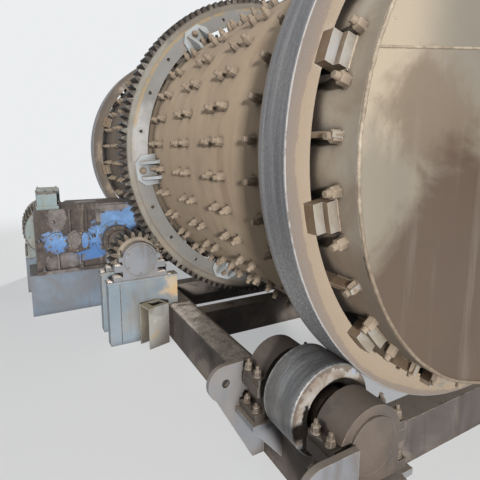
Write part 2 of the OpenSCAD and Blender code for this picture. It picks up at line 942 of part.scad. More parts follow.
drum_shell();
feed_head();
discharge_head();
feed_neck();
discharge_neck();
near_riding_ring();
far_riding_ring();
near_ring_pads();
far_ring_pads();
near_stop_blocks();
far_stop_blocks();
girth_gear();
gear_web();
gear_brackets();
pinion();
slow_coupling();
near_left_roller();
near_right_roller();
far_left_roller();
far_right_roller();
left_beam();
right_beam();
cross_beams();
anchor_plates();
near_left_seat();
near_right_seat();
far_left_seat();
far_right_seat();
near_bearing_bases();
near_bearing_caps();
far_bearing_bases();
far_bearing_caps();
near_pinion_pedestal();
far_pinion_pedestal();
pinion_bearing_bases();
pinion_bearing_caps();
pinion_end_cover();
channel_bracket();
reducer_pedestal();
reducer_lower_case();
reducer_upper_case();
reducer_covers();
inspection_cover();
motor_pedestal();
motor_body();
motor_end_shield();
motor_fan_cowl();
terminal_box();
fast_coupling();
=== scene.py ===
"""The looks of a ball mill on riding rings: finishes, fasteners, welds and dirt round the fixed frame."""

import math
from functools import partial

import bmesh
import bpy
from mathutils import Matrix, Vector, noise


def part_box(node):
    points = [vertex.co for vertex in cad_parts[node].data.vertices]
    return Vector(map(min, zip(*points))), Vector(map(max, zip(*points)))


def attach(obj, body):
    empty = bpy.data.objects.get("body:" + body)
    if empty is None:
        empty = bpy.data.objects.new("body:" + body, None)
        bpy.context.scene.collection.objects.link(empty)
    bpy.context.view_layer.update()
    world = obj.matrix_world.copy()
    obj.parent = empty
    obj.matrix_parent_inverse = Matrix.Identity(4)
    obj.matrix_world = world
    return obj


bl_info = {
    "name": "Ball mill",
    "version": (1, 0, 0),
    "blender": (4, 5, 0),
    "location": "View3D > Sidebar > Mill",
    "description": "Dresses the frame of a ball mill with its finishes, fasteners, welds and dirt",
    "category": "Object",
}

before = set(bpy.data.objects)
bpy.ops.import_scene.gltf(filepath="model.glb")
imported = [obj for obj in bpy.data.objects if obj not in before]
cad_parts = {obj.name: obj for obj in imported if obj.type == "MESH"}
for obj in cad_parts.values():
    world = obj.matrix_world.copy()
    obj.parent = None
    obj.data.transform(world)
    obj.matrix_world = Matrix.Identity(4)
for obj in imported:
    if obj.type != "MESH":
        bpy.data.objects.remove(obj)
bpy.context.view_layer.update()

PHOTO_SIZE = 480
PHOTO_RISE = 26.5
SIDES = (-1, 1)
UP = Vector((0, 0, 1))
FRONTWARD = Vector((0, -1, 0))
BACKWARD = Vector((0, 1, 0))


def middle(node):
    """The middle of a frame node's box."""
    low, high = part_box(node)
    return (low + high) / 2


def size_of(node):
    """The lengths of a frame node's box."""
    low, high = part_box(node)
    return high - low


DRUM = middle("drum_shell")
SHELL_R = size_of("drum_shell").x / 2
SHELL_HALF = size_of("drum_shell").y / 2
RING_R = size_of("near_riding_ring").x / 2
RING_HALF = size_of("near_riding_ring").y / 2
RING_Y = -middle("near_riding_ring").y
GEAR_TIP = size_of("girth_gear").x / 2
WEB_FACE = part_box("gear_web")[0].y
WEB_R = size_of("gear_web").x / 2
PINION = middle("pinion_end_cover")
COVER_R = size_of("pinion_end_cover").x / 2
ROLLER = middle("near_left_roller")
ROLLER_R = size_of("near_left_roller").x / 2
ROLLER_HALF = 0.110
BEAM_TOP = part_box("left_beam")[1].z
PEDESTAL_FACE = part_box("near_pinion_pedestal")[0].y
CHANNEL_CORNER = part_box("channel_bracket")[0]
CASE_LOW, CASE_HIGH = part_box("reducer_lower_case")
MOTOR_LOW, MOTOR_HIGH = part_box("motor_body")

# Sizes from the part's source that the nodes' boxes don't give
GEAR_BOLT_R = 1.243
BRACKET_PHASE = math.radians(6.9)
BRACKETS = 6
WEB_HOLES = 24
BRACKET_PLATE = 0.020
RIB_GAP = 0.128
RIB_HALF = 0.0135
BLOCKS = 12
BLOCK_PHASE = math.radians(11.3)
BLOCK_LENGTH = 0.120
BLOCK_BAR = 0.058
BLOCK_STEP = 0.030
PAD_THICK = 0.022
PAD_OUT = 0.120
NECK_R = {"feed_neck": 0.270, "discharge_neck": 0.320}
HOUSING_MIDDLE = 0.260
PINION_HOUSING_MIDDLE = 0.165
MIDDLE_SHAFT_X = PINION.x - 0.360
FAST_SHAFT_X = PINION.x - 0.560
SLOW_COUPLING_Y = 0.636


def tone(red, green, blue):
    """A colour read as it shows, from 0 to 255, as the linear colour that a shader takes."""
    def linear(value):
        share = value / 255
        return share / 12.92 if share <= 0.04045 else ((share + 0.055) / 1.055) ** 2.4

    return (linear(red), linear(green), linear(blue), 1.0)


def as_colour(value):
    """A linear colour from three values up to 255 or a setting's name. Anything else stays."""
    if isinstance(value, str):
        return tuple(getattr(bpy.context.scene.mill_colours, value))
    return tone(*value) if isinstance(value, tuple) and len(value) == 3 else value


def scaled(colour, share, more=0.0):
    return tuple(min(1.0, part * share + more) for part in colour[:3]) + (1.0,)


# Settings that a user would change


def length_setting(name, description, default):
    return bpy.props.FloatProperty(name=name, description=description, default=default, unit="LENGTH")


def colour_setting(name, description, *colour):
    return bpy.props.FloatVectorProperty(
        name=name, description=description, subtype="COLOR", size=4, default=tone(*colour), min=0, max=1
    )


class MillFittings(bpy.types.PropertyGroup):
    lining_rows: bpy.props.IntProperty(
        name="Lining bolt rows", description="Rows of lining bolts round the shell", default=36, min=12
    )
    lining_turn: bpy.props.FloatProperty(
        name="First row", description="Turn of the first row of lining bolts",
        default=math.radians(176.6), subtype="ANGLE",
    )
    nut_width: length_setting("Nut width", "Width of a lining bolt's nut across its corners", 0.051)
    nut_height: length_setting("Nut height", "Height of a lining bolt's nut", 0.041)
    tail_width: length_setting("Tail width", "Width of the threaded end over the nut", 0.032)
    tail_height: length_setting("Tail height", "Length of the threaded end over the nut", 0.024)
    pair_gap: length_setting("Pair spacing", "Distance along the drum between the bolts of a pair", 0.157)
    weld_width: length_setting("Weld width", "Width of the weld beads", 0.012)


class MillColours(bpy.types.PropertyGroup):
    shell: colour_setting("Shell dust", "Colour of the dust on the shell", 180, 160, 136)
    tread: colour_setting("Tread", "Colour of the rolled treads", 120, 120, 122)
    paint: colour_setting("Pedestal paint", "Colour of the pale machine paint", 122, 135, 145)
    blue: colour_setting("Reducer paint", "Colour of the blue paint", 110, 152, 202)


class MillStage(bpy.types.PropertyGroup):
    eye: bpy.props.FloatVectorProperty(
        name="Eye", description="Place of the camera", default=(-2.1288, -3.4701, 1.6191),
        size=3, subtype="TRANSLATION",
    )
    look: bpy.props.FloatVectorProperty(
        name="Look", description="Direction of the camera", default=(0.4711, 0.8683, -0.1554),
        size=3, subtype="DIRECTION",
    )
    lens: bpy.props.FloatProperty(
        name="Lens", description="Focal length in millimetres", default=30.12, min=10
    )
    light: bpy.props.FloatProperty(
        name="Light", description="Strength of the lamps", default=1.0, min=0
    )


# Trees of nodes


class Value:
    """What comes out of a node. A sum of values adds the nodes that work it out."""

    def __init__(self, nodes, socket):
        self.nodes = nodes
        self.socket = socket

    def __add__(self, other):
        return self.nodes.math("ADD", self, other)

    def __mul__(self, other):
        return self.nodes.math("MULTIPLY", self, other)

    __radd__ = __add__
    __rmul__ = __mul__

    def __sub__(self, other):
        return self.nodes.math("SUBTRACT", self, other)

    def __rsub__(self, other):
        return self.nodes.math("SUBTRACT", other, self)

    def __truediv__(self, other):
        return self.nodes.math("DIVIDE", self, other)

    def __abs__(self):
        return self.nodes.math("ABSOLUTE", self)


class Nodes:
    """A tree of nodes under construction. Each call adds a node and gives what comes out of it."""

    def __init__(self, tree):
        self.tree = tree

    def put(self, value, socket):
        """Links a value to a socket, each of a list of them, or sets a plain one on it."""
        for one in value if isinstance(value, list) else [value]:
            if isinstance(one, Value):
                self.tree.links.new(one.socket, socket)
            else:
                socket.default_value = one

    def node(self, kind, inputs, **settings):
        node = self.tree.nodes.new(kind)
        for key, value in settings.items():
            setattr(node, key, value)
        for key, value in inputs.items():
            self.put(value, node.inputs[key])
        return node

    def add(self, kind, inputs, out=0, **settings):
        return Value(self, self.node(kind, inputs, **settings).outputs[out])

    def math(self, kind, first, second=0.0):
        return self.add("ShaderNodeMath", {0: first, 1: second}, operation=kind)

    def either(self, first, second):
        return self.math("MAXIMUM", first, second)

    def vector_math(self, kind, first, second, out=0):
        return self.add("ShaderNodeVectorMath", {0: first, 1: second}, out, operation=kind)

    def length(self, u, v):
        return self.math("SQRT", u * u + v * v)

    def seen(self):
        """1 for what the camera sees, straight or in a gloss."""
        rays = self.node("ShaderNodeLightPath", {}).outputs
        return self.either(Value(self, rays["Is Camera Ray"]), Value(self, rays["Is Glossy Ray"]))


class Finish(Nodes):
    """A material under construction."""

    def __init__(self, name):
        self.material = bpy.data.materials.new(name)
        self.material.use_nodes = True
        super().__init__(self.material.node_tree)
        self.shader = self.tree.nodes["Principled BSDF"]
        self.place = self.add("ShaderNodeTexCoord", {}, "Object")
        self.x, self.y, self.z = self.parts(self.place)

    def parts(self, vector):
        return [Value(self, one) for one in self.node("ShaderNodeSeparateXYZ", {0: vector}).outputs]

    def joined(self, x, y, z):
        return self.add("ShaderNodeCombineXYZ", {0: x, 1: y, 2: z})

    def about(self, centre):
        """The place's x, y and z from a centre."""
        return self.parts(self.add("ShaderNodeMapping", {
            "Vector": self.place, "Location": -Vector(centre),
        }))

    def round_lines(self, share):
        """Coordinates that hardly change round the drum, for lines that run round it."""
        return self.joined(self.x * share, self.y, self.z * share)

    def noise(self, scale, detail=5, rough=0.6, stretch=(1, 1, 1), warp=0.0, at=None):
        place = self.add("ShaderNodeMapping", {"Vector": at or self.place, "Scale": stretch})
        return self.add("ShaderNodeTexNoise", {
            "Vector": place, "Scale": scale, "Detail": detail, "Roughness": rough, "Distortion": warp,
        })

    def step(self, value, low, high):
        """0 under low and 1 over high, smooth between, or the other way where low is over high."""
        return self.add("ShaderNodeMapRange", {
            "Value": value, "From Min": low, "From Max": high,
        }, interpolation_type="SMOOTHSTEP")

    def flecks(self, low, high, *kind, **more):
        """A step over a noise of its own: 1 in ragged flecks and 0 between them."""
        return self.step(self.noise(*kind, **more), low, high)

    def drift(self, reach, *kind, **more):
        """A noise about zero, which makes a border wander."""
        return (self.noise(*kind, **more) - 0.5) * reach

    def blend(self, amount, first, second):
        return self.add("ShaderNodeMix", {0: amount, 6: as_colour(first), 7: as_colour(second)}, 2,
                        data_type="RGBA")

    def layers(self, colour, *coats):
        """A colour with coats over it, each an amount and a colour."""
        for amount, coat in coats:
            colour = self.blend(amount, colour, coat)
        return colour

    def shades(self, value, stops):
        """Colours along a value, by their places on it."""
        node = self.node("ShaderNodeValToRGB", {"Fac": value})
        ramp = node.color_ramp
        for index, (at, colour) in enumerate(stops.items()):
            stop = ramp.elements[index] if index < 2 else ramp.elements.new(at)
            stop.position = at
            stop.color = as_colour(colour)
        return Value(self, node.outputs[0])

    def normal(self):
        return self.add("ShaderNodeNewGeometry", {}, "Normal")

    def facing(self, axis):
        """How far a face looks along an axis: 0, 1 or 2 for x, y or z."""
        return self.parts(self.normal())[axis]

    def soft_normal(self, radius):
        return self.add("ShaderNodeBevel", {"Radius": radius}, samples=4)

    def edges(self, radius):
        """1 close to the edges of a solid."""
        alike = self.vector_math("DOT_PRODUCT", self.soft_normal(radius), self.normal(), "Value")
        return self.step(alike, 0.995, 0.86)

    def painted_hollow_shade(self, reach, deepest=0.25):
        """1 deep in the corners of the object, where painted shade is laid."""
        free = self.add("ShaderNodeAmbientOcclusion", {"Distance": reach}, "AO", samples=6)
        return self.step(free, deepest + 0.6, deepest)

    def painted_lee_shadow(self, reach):
        """1 on the side away from the feed end of whatever stands on a surface, where a painted shadow
        falls.
        """
        tilted = self.vector_math("ADD", self.normal(), (0.0, -1.2, 0.0))
        free = self.add("ShaderNodeAmbientOcclusion", {"Distance": reach, "Normal": tilted}, "AO",
                        samples=10)
        return self.step(free, 0.72, 0.50)

    def patch_at(self, centre, reach):
        """1 in a ragged patch about a place."""
        away = self.vector_math("DISTANCE", self.place, centre, "Value")
        return self.step(away + self.drift(4 * reach, 0.9 / reach, 6, 0.7), 1.1 * reach, 0.2 * reach)

    def dusted(self, colour, dust, amount):
        """Dust that has settled on what faces up, with a ragged border."""
        up = self.step(self.facing(2), 0.35, 0.8)
        return self.blend(up * self.flecks(0.3, 0.5, 9, 6, 0.65) * amount, colour, dust)

    def close(self, colour, rough, metal=0.0, height=None, depth=0.002, soft=0.003):
        """Joins the results to the shader and gives the material."""
        normal = self.soft_normal(soft)
        if height is not None:
            normal = self.add("ShaderNodeBump", {
                "Height": height, "Distance": depth, "Normal": normal,
            })
        ends = {"Base Color": colour, "Roughness": rough, "Metallic": metal, "Normal": normal}
        for key, value in ends.items():
            self.put(value, self.shader.inputs[key])
        return self.material


# Finishes


def dusty_shell(name):
    f = Finish(name)
    along = f.about(DRUM)[1]
    off = abs(along)
    speckle = f.noise(85, 3, 0.7)
    # painted shadow of the riding rings on the shell on their inner side
    ring_shadow_band = (f.step(off, RING_Y - RING_HALF - 0.34, RING_Y - RING_HALF - 0.12)
              * f.step(off, RING_Y + 0.02, RING_Y - 0.02))
    shell = f.layers(
        f.shades(f.noise(1.3, warp=0.6), {
            0.30: (158, 138, 117), 0.46: (173, 154, 132), 0.60: "shell", 0.75: (192, 174, 151),
        }),
        (f.flecks(0.42, 0.72, 7, 4, 0.55, at=f.round_lines(0.3)) * 0.28, (146, 129, 112)),
        (f.flecks(0.60, 0.72, 60, 4, at=f.round_lines(0.1)) * 0.14, (176, 162, 142)),
        (f.flecks(0.55, 0.70, 5, stretch=(1, 1, 0.12)) * 0.4, (140, 112, 93)),
        (f.step(speckle, 0.55, 0.8) * 0.25, (104, 88, 73)),
        (ring_shadow_band * 0.82, (80, 69, 59)),
        # painted shade: the shell's far half, beyond the gear, darker
        (f.step(along, 0.0, 0.5) * 0.8, (92, 83, 75)),
    )
    under = f.z + f.drift(0.9, 3)
    strip = f.layers(
        f.shades(f.noise(4.2, warp=0.5), {
            0.32: (148, 136, 120), 0.5: (167, 159, 145), 0.68: (179, 177, 168),
        }),
        (f.flecks(0.62, 0.74, 5.2, 5, 0.62) * 0.55, (186, 162, 124)),
        # painted shade: the end strips darker towards the bottom
        (f.step(under, DRUM.z + 0.05, DRUM.z - 0.55) * 0.8, (102, 87, 74)),
        (f.step(off, SHELL_HALF - 0.13, SHELL_HALF - 0.01) * 0.4, (98, 95, 88)),
    )
    end = f.step(off, RING_Y + 0.05, RING_Y + 0.12)
    colour = f.layers(
        # painted shade deep in the corners, weaker on the end strips
        shell, (end * 0.85, strip), (f.painted_hollow_shade(0.07, 0.30) * (0.8 - end * 0.7), (52, 43, 36)),
        # painted shadows of the bolts and rings, cast towards the far end
        (f.painted_lee_shadow(0.10) * 0.92, (34, 28, 23)),
    )
    return f.close(colour, 0.82, 0.0, speckle * 0.4 + f.noise(22), 0.0014)


def stained_head(name):
    f = Finish(name)
    drift = f.drift(0.75, 2.6, 6, 0.62, warp=0.5)
    lit = f.step(f.x, -0.62, -0.95) * f.step(f.z + drift, 1.56, 1.82)
    cloud = f.step(f.length(f.x + 0.70, (f.z - 1.75) * 1.5) + drift, 0.38, 0.16)
    low = f.step(f.z - f.math("MINIMUM", f.x, -0.62) * 1.1 + drift, 2.46, 2.20)
    fall = f.step(f.z, 1.9, 1.5) * f.flecks(0.52, 0.70, 9, stretch=(1, 1, 0.08))
    colour = f.layers(
        f.shades(f.noise(0.95, 5, 0.55, warp=0.9), {
            0.28: (104, 99, 89), 0.44: (118, 112, 101), 0.56: (128, 120, 105), 0.72: (136, 133, 124),
        }),
        (lit * 0.6, (176, 162, 141)),
        (cloud * 0.85, (102, 89, 74)),
        (low * 0.88, (70, 54, 43)),
        (fall * 0.22, (134, 128, 116)),
        (f.flecks(0.5, 0.72, 210, 3, 0.7) * 0.22, (104, 86, 70)),
        (f.flecks(0.72, 0.78, 60, 2) * 0.6, (98, 76, 60)),
    )
    return f.close(colour, 0.68, 0.0, f.noise(14, 6, 0.65) + f.noise(160, 2) * 0.3, 0.0016)


def ring_steel(name):
    """Rolled tread with fine lines round it, and dusty side faces."""
    f = Finish(name)
    x, along, z = f.about(DRUM)
    r = f.length(x, z)
    off = (abs(along) - RING_Y) / RING_HALF
    lines_at = f.round_lines(0.024)
    broad = f.noise(24, 4, 0.55, at=lines_at)
    lines = broad * 0.6 + f.noise(150, 4, 0.7, at=lines_at) * 0.4
    low = f.step(f.z, DRUM.z - 0.25, DRUM.z - 0.75)
    pits_and_glints = f.noise(105, 4, 0.8)
    tread = f.layers(
        f.shades(lines, {
            0.36: (76, 77, 80), 0.47: (102, 102, 105), 0.56: "tread", 0.68: (150, 149, 147),
        }),
        # painted sheen: the tread paler on its lower part
        (low * 0.55, (156, 157, 159)),
        (f.flecks(0.48, 0.66, 2.3, 4) * 0.35, (134, 131, 127)),
        # painted glints: pale specks, more on the lower tread
        (f.step(pits_and_glints, 0.52, 0.62) * (low * 0.75 + 0.12), (198, 200, 204)),
        (f.step(pits_and_glints, 0.44, 0.34) * 0.5, (54, 53, 54)),
        (f.step(off + (broad - 0.5) * 0.3, -0.70, -0.95) * 0.55, (122, 106, 90)),
    )
    share = (r - (SHELL_R + 0.05)) / (RING_R - SHELL_R - 0.05)
    below = f.step(f.z, DRUM.z - 0.2, DRUM.z - 0.9)
    wander = share + f.drift(0.8, 2.4, 7, 0.68) - below * 0.22
    pale = f.flecks(0.58, 0.72, 3.1, warp=0.8) * f.step(wander, 0.6, 0.3)
    ochre = f.flecks(0.62, 0.76, 4.6, 5, 0.65, warp=0.5) * f.step(wander, 0.5, 0.1)
    grain = f.noise(200, 4, 0.75)
    # painted shade: darker patches on the side faces of the far ring
    far = f.step(along, -0.5, 0.5) * f.flecks(0.62, 0.50, 3.4, 5, 0.65, warp=0.5)
    side = f.layers(
        f.shades(wander, {
            0.10: (146, 132, 115), 0.46: (143, 128, 110), 0.52: (124, 112, 102), 0.90: (116, 107, 100),
        }),
        (pale * 0.65, (172, 167, 160)),
        (ochre * 0.5, (158, 130, 94)),
        (f.step(grain, 0.52, 0.66) * 0.45, (86, 75, 66)),
        (f.step(grain, 0.46, 0.34) * 0.30, (160, 150, 139)),
        (far * 0.7, (88, 81, 75)),
    )
    on_side = f.step(abs(off), 0.90, 0.94) * f.step(r, RING_R - 0.001, RING_R - 0.004)
    # painted highlight: a bright line along the outer edge of the side faces
    rim = (f.step(r, RING_R - 0.007, RING_R - 0.005) * f.step(r, RING_R, RING_R - 0.003)
           * f.flecks(0.3, 0.5, 22, 4))
    colour = f.layers(tread, (on_side, side), (rim * on_side * 0.7, (178, 178, 178)))
    rough = on_side * 0.34 + (0.30 + lines * 0.4)
    return f.close(colour, rough, (1.0 - on_side) * 0.55, lines * 1.4 + pits_and_glints * 0.7, 0.0010, 0.002)


def block_steel(name):
    f = Finish(name)
    x, along, z = f.about(DRUM)
    top = f.step(f.length(x, z), SHELL_R + 0.080, SHELL_R + 0.086) * f.flecks(0.36, 0.5, 10)
    outer = f.step(abs(along), RING_Y - 0.02, RING_Y + 0.02)
    # painted light: a paler tone for the end faces on the rings' outer sides
    painted_light_ends = f.shades(f.noise(8), {
        0.34: (130, 123, 110), 0.5: (148, 144, 134), 0.66: (158, 160, 161),
    })
    colour = f.layers(
        f.shades(f.noise(6), {0.3: (104, 86, 67), 0.5: (126, 108, 87), 0.7: (146, 137, 124)}),
        (top * 0.6, (122, 104, 84)),
        (f.flecks(0.5, 0.68, 14, 5, 0.65) * 0.6, (116, 94, 73)),
        (f.step(abs(f.facing(1)), 0.6, 0.9) * outer * 0.85, painted_light_ends),
        # painted shade in the corners
        (f.painted_hollow_shade(0.08) * 0.7, (72, 58, 46)),
        (f.edges(0.004) * 0.5, (184, 183, 178)),
    )
    return f.close(colour, 0.66, 0.1, f.noise(40, 5, 0.65), 0.0018)


def gear_steel(name, centre, root_r, tip_r, face, soil, soiled):
    """Toothed steel: dusty faces, flanks dark with grease and painted shade, and tips rubbed bright with
    a painted highlight.
    """
    f = Finish(name)
    x, _, z = f.about(centre)
    r = f.length(x, z)
    face = as_colour(face)
    depth = f.step(r, root_r - 0.014, root_r + 0.006)
    flank = depth * f.step(abs(f.facing(1)), 0.8, 0.4)
    # grease on the flanks, dark enough to stand in for painted shade in the tooth gaps
    grease = f.shades(f.noise(16), {0.35: (24, 20, 18), 0.52: (46, 39, 34), 0.72: (92, 79, 67)})
    # tips rubbed bare, and brightened as a painted highlight
    tip_wear_and_highlight = f.step(r, tip_r - 0.006, tip_r - 0.001) * f.flecks(0.35, 0.6, 7, 4)
    colour = f.layers(
        f.shades(f.noise(5), {0.3: scaled(face, 0.62), 0.5: face, 0.72: scaled(face, 1.25)}),
        (f.step(f.x + f.noise(3) * 0.3, -0.90, -0.62) * 0.6, (100, 90, 79)),
        (f.flecks(0.52, 0.68, 3.3, 6, 0.65, warp=0.5) * 0.5, (142, 122, 96)),
        (depth * f.flecks(0.30, 0.55, 9, 5, 0.65) * soiled, soil),
        (flank, grease),
        (tip_wear_and_highlight * 0.7, (118, 120, 126)),
        (f.edges(0.002) * 0.35, (150, 141, 128)),
        # painted shade in the corners
        (f.painted_hollow_shade(0.05) * 0.45, (38, 31, 26)),
    )
    rough = 0.86 - flank * f.flecks(0.55, 0.68, 30, 4) * 0.5
    return f.close(colour, rough, tip_wear_and_highlight * 0.5, f.noise(60, 5, 0.65), 0.0014, 0.002)


def web_steel(name):
    f = Finish(name)
    x, _, z = f.about(DRUM)
    r = f.length(x, z)
    streaks = f.noise(30, 4, stretch=(0.4, 1, 1))
    drift = f.drift(0.5, 3)
    # painted highlight: the paler patch on the web's left side
    wiped = f.step(f.x + drift, -1.02, -1.25) * (
        f.step(f.z + drift, 1.40, 1.62) * f.step(f.z + drift, 2.12, 1.92))
    flecks = f.flecks(0.40, 0.50, 26, 6, 0.7) * f.flecks(0.36, 0.48, 3, 4)
    band = f.step(r, WEB_R - 0.034, WEB_R - 0.020) * flecks * (0.2 + f.step(f.z, 1.5, 1.8) * 0.45)
    turn = f.math("ARCTAN2", z, x) - BRACKET_PHASE
    near_hole = f.length(r * f.math("PINGPONG", turn, math.pi / WEB_HOLES), r - GEAR_BOLT_R)
    mark = f.step(near_hole, 0.021, 0.024) * f.step(near_hole, 0.036, 0.030)
    colour = f.layers(
        f.shades(f.noise(1.6, 5, 0.55), {
            0.30: (100, 98, 94), 0.5: (115, 114, 111), 0.70: (128, 128, 127),
        }),
        (wiped * 0.85, (164, 164, 164)),
        (f.step(streaks, 0.5, 0.7) * 0.22, (120, 112, 100)),
        (f.flecks(0.5, 0.7, 3.4, 6, 0.65, warp=0.5) * 0.28, (150, 134, 112)),
        (band, (152, 128, 84)),
        (mark * 0.2, (112, 104, 94)),
        # painted shade in the corners
        (f.painted_hollow_shade(0.05) * 0.6, (74, 62, 52)),
        (f.edges(0.004) * 0.5, (176, 168, 150)),
    )
    return f.close(colour, 0.55, 0.15, streaks + f.noise(45, 4), 0.001)


def machine_paint(name, paint, dust=(150, 134, 114), grime=(88, 76, 66), worn=(188, 180, 166),
                  dirt=0.5, metal=0.0, rough=0.55, oil=0.0, stains=(), shade=(0.08, 0.25, 0.75)):
    """Painted castings and plate: uneven paint, run-down dirt, stains, painted shade in the hollows,
    settled dust, rubbed edges.
    """
    f = Finish(name)
    paint = as_colour(paint)
    runs = f.noise(7, 6, 0.65, stretch=(1, 1, 0.14), warp=0.2)
    reach, deepest, amount = shade
    colour = f.layers(
        f.shades(f.noise(3.1, warp=0.5), {
            0.3: scaled(paint, 0.8), 0.5: paint, 0.72: scaled(paint, 1.12, 0.015),
        }),
        (f.step(runs, 0.62 - 0.25 * dirt, 0.78 - 0.2 * dirt) * (0.35 + 0.5 * dirt), grime),
        (f.flecks(0.45, 0.65, 2.2, 6, warp=0.8) * (0.3 + 0.4 * dirt), dust),
        *[(f.patch_at(centre, radius) * 0.65, stain) for centre, radius, stain in stains],
        # painted shade in the hollows, as deep and strong as the shade setting says
        (f.painted_hollow_shade(reach, deepest) * amount, (62, 52, 44)),
        (f.edges(0.005) * f.flecks(0.36, 0.56, 26, 4) * 0.75, worn),
    )
    colour = f.dusted(colour, dust, 0.9)
    if oil:
        wet = f.flecks(0.5, 0.62, 4.2, warp=0.7) * oil
        colour = f.blend(wet, colour, (36, 32, 31))
        rough = rough - wet * 0.28
    return f.close(colour, rough, metal, f.noise(34) + f.noise(5, 4) * 1.4, 0.0016)


# Where the reducer's front is wiped or dusty: across and up from the pinion's axis, half sizes
WIPED = (
    (-0.02, 0.235, 0.150, 0.060), (-0.02, 0.110, 0.210, 0.110), (0.14, 0.220, 0.070, 0.150),
    (-0.575, 0.010, 0.110, 0.100), (-0.305, 0.000, 0.030, 0.085), (-0.210, -0.040, 0.055, 0.160),
    (-0.270, -0.150, 0.190, 0.055),
)
DUSTY = (
    (-0.02, 0.330, 0.200, 0.040), (-0.165, 0.270, 0.030, 0.100), (-0.56, 0.240, 0.080, 0.110),
    (-0.41, 0.020, 0.060, 0.085), (-0.50, -0.190, 0.160, 0.075), (-0.54, -0.300, 0.160, 0.035),
)


def reducer_paint(name):
    """Blue paint under ragged oily grime, wiped bare in places and dusted over in others."""
    f = Finish(name)
    across = f.x - PINION.x
    up = f.z - PINION.z
    drift = f.drift(2.2, 9, 7, 0.68, warp=0.4)

    def ragged(ovals):
        """1 in any of the ovals, with a border that wanders."""
        whole = 0.0
        for middle_x, middle_z, half_x, half_z in ovals:
            away = f.length((across - middle_x) / half_x, (up - middle_z) / half_z)
            whole = f.either(f.step(away + drift, 1.16, 0.92), whole)
        return whole

    deeper = f.blend(f.step(up, 0.10, -0.10) * 0.75, "blue", (50, 104, 168))
    base = f.blend(f.flecks(0.38, 0.56, 4.5), f.blend(0.4, deeper, (70, 86, 112)), deeper)
    grime = f.shades(f.noise(18, 6, 0.7), {
        0.35: (50, 43, 40), 0.55: (74, 64, 58), 0.72: (112, 98, 86),
    })
    dust = f.shades(f.noise(12, 6, 0.65), {
        0.35: (92, 87, 86), 0.55: (116, 110, 107), 0.72: (140, 134, 126),
    })
    bare = ragged(WIPED)
    colour = f.layers(
        grime,
        (f.flecks(0.60, 0.70, 13, stretch=(1, 1, 0.10)) * 0.5, (136, 126, 114)),
        (bare * 0.95, base),
        (ragged(DUSTY) * 0.9, dust),
        # painted shade in the corners
        (f.painted_hollow_shade(0.07) * 0.75, (40, 34, 31)),
        (f.edges(0.005) * f.flecks(0.4, 0.58, 26, 4) * 0.4, (128, 132, 136)),
    )
    rough = 0.72 - f.either(f.flecks(0.5, 0.62, 4.2, warp=0.7), bare) * 0.3
    return f.close(f.dusted(colour, (96, 84, 74), 0.85), rough, 0.0, f.noise(34) - bare * 0.6, 0.0018)


def roller_steel(name):
    """Rolled tread with faint lines, and tan dusty faces with a recess darkened by painted shade."""
    f = Finish(name)
    flat_x = abs(f.x) - abs(ROLLER.x)
    flat_z = f.z - ROLLER.z
    r = f.length(flat_x, flat_z)
    lines_at = f.joined(flat_z * 0.1, f.y, flat_x * 0.1)
    lines = f.noise(20, 4, at=lines_at) * 0.65 + f.noise(120, 4, 0.7, at=lines_at) * 0.35
    off = abs(abs(f.y) - RING_Y)
    burr = f.step(off, ROLLER_HALF - 0.022, ROLLER_HALF - 0.008) * f.flecks(0.42, 0.56, 45, 5, 0.7)
    tread = f.layers(
        f.shades(lines, {0.36: (76, 76, 77), 0.5: (102, 103, 104), 0.64: (132, 133, 134)}),
        (f.flecks(0.46, 0.66, 5) * 0.5, (92, 85, 78)),
        (f.flecks(0.54, 0.7, 140, 3, 0.7) * 0.35, (140, 138, 134)),
        (burr * 0.65, (158, 158, 156)),
    )
    fringe = f.step(r + f.drift(0.14, 30, 6, 0.75), ROLLER_R - 0.026, ROLLER_R - 0.016)
    # painted shade: darker tones for the recess in the face
    shaded_recess = f.shades(f.noise(14, 6, 0.7), {
        0.35: (58, 47, 40), 0.55: (92, 77, 65), 0.75: (134, 114, 96),
    })
    on_tread = f.step(r, ROLLER_R - 0.006, ROLLER_R - 0.002)
    colour = f.layers(
        f.shades(f.noise(7, 6, 0.65, warp=0.4), {
            0.36: (108, 95, 84), 0.46: (132, 121, 110), 0.55: (150, 146, 140), 0.66: (142, 152, 166),
        }),
        (fringe * 0.85, (92, 81, 72)),
        (f.step(r, ROLLER_R - 0.082, ROLLER_R - 0.088), shaded_recess),
        (on_tread, tread),
        # painted shade in the corners
        (f.painted_hollow_shade(0.06) * 0.5, (50, 41, 35)),
    )
    height = f.noise(40, 6, 0.7) + lines * 0.8
    return f.close(colour, 0.85 - on_tread * 0.38, on_tread * 0.4, height, 0.0026)


def loose_dirt(name):
    f = Finish(name)
    away = f.add("ShaderNodeTexVoronoi", {"Vector": f.place, "Scale": 70}, "Distance",
                 feature="DISTANCE_TO_EDGE")
    crumbs = f.step(away, 0.02, 0.14)
    colour = f.layers(
        f.shades(f.noise(22, 6, 0.7), {
            0.32: (176, 165, 153), 0.5: (224, 214, 202), 0.68: (246, 238, 228),
        }),
        ((1.0 - crumbs) * 0.5, (58, 50, 44)),
    )
    return f.close(colour, 0.95, 0.0, f.noise(60, 6, 0.75) + crumbs * 0.5, 0.004)


def weld_metal(name):
    f = Finish(name)
    colour = f.layers(
        f.shades(f.noise(30, 5, 0.65), {
            0.32: (116, 103, 88), 0.5: (142, 130, 113), 0.72: (172, 162, 145),
        }),
        # painted shade: the beads darker below the drum's axis
        (f.step(f.z, DRUM.z, DRUM.z - 0.4) * 0.6, (98, 83, 68)),
    )
    return f.close(colour, 0.65, 0.0, f.noise(140, 3), 0.0010, 0.001)


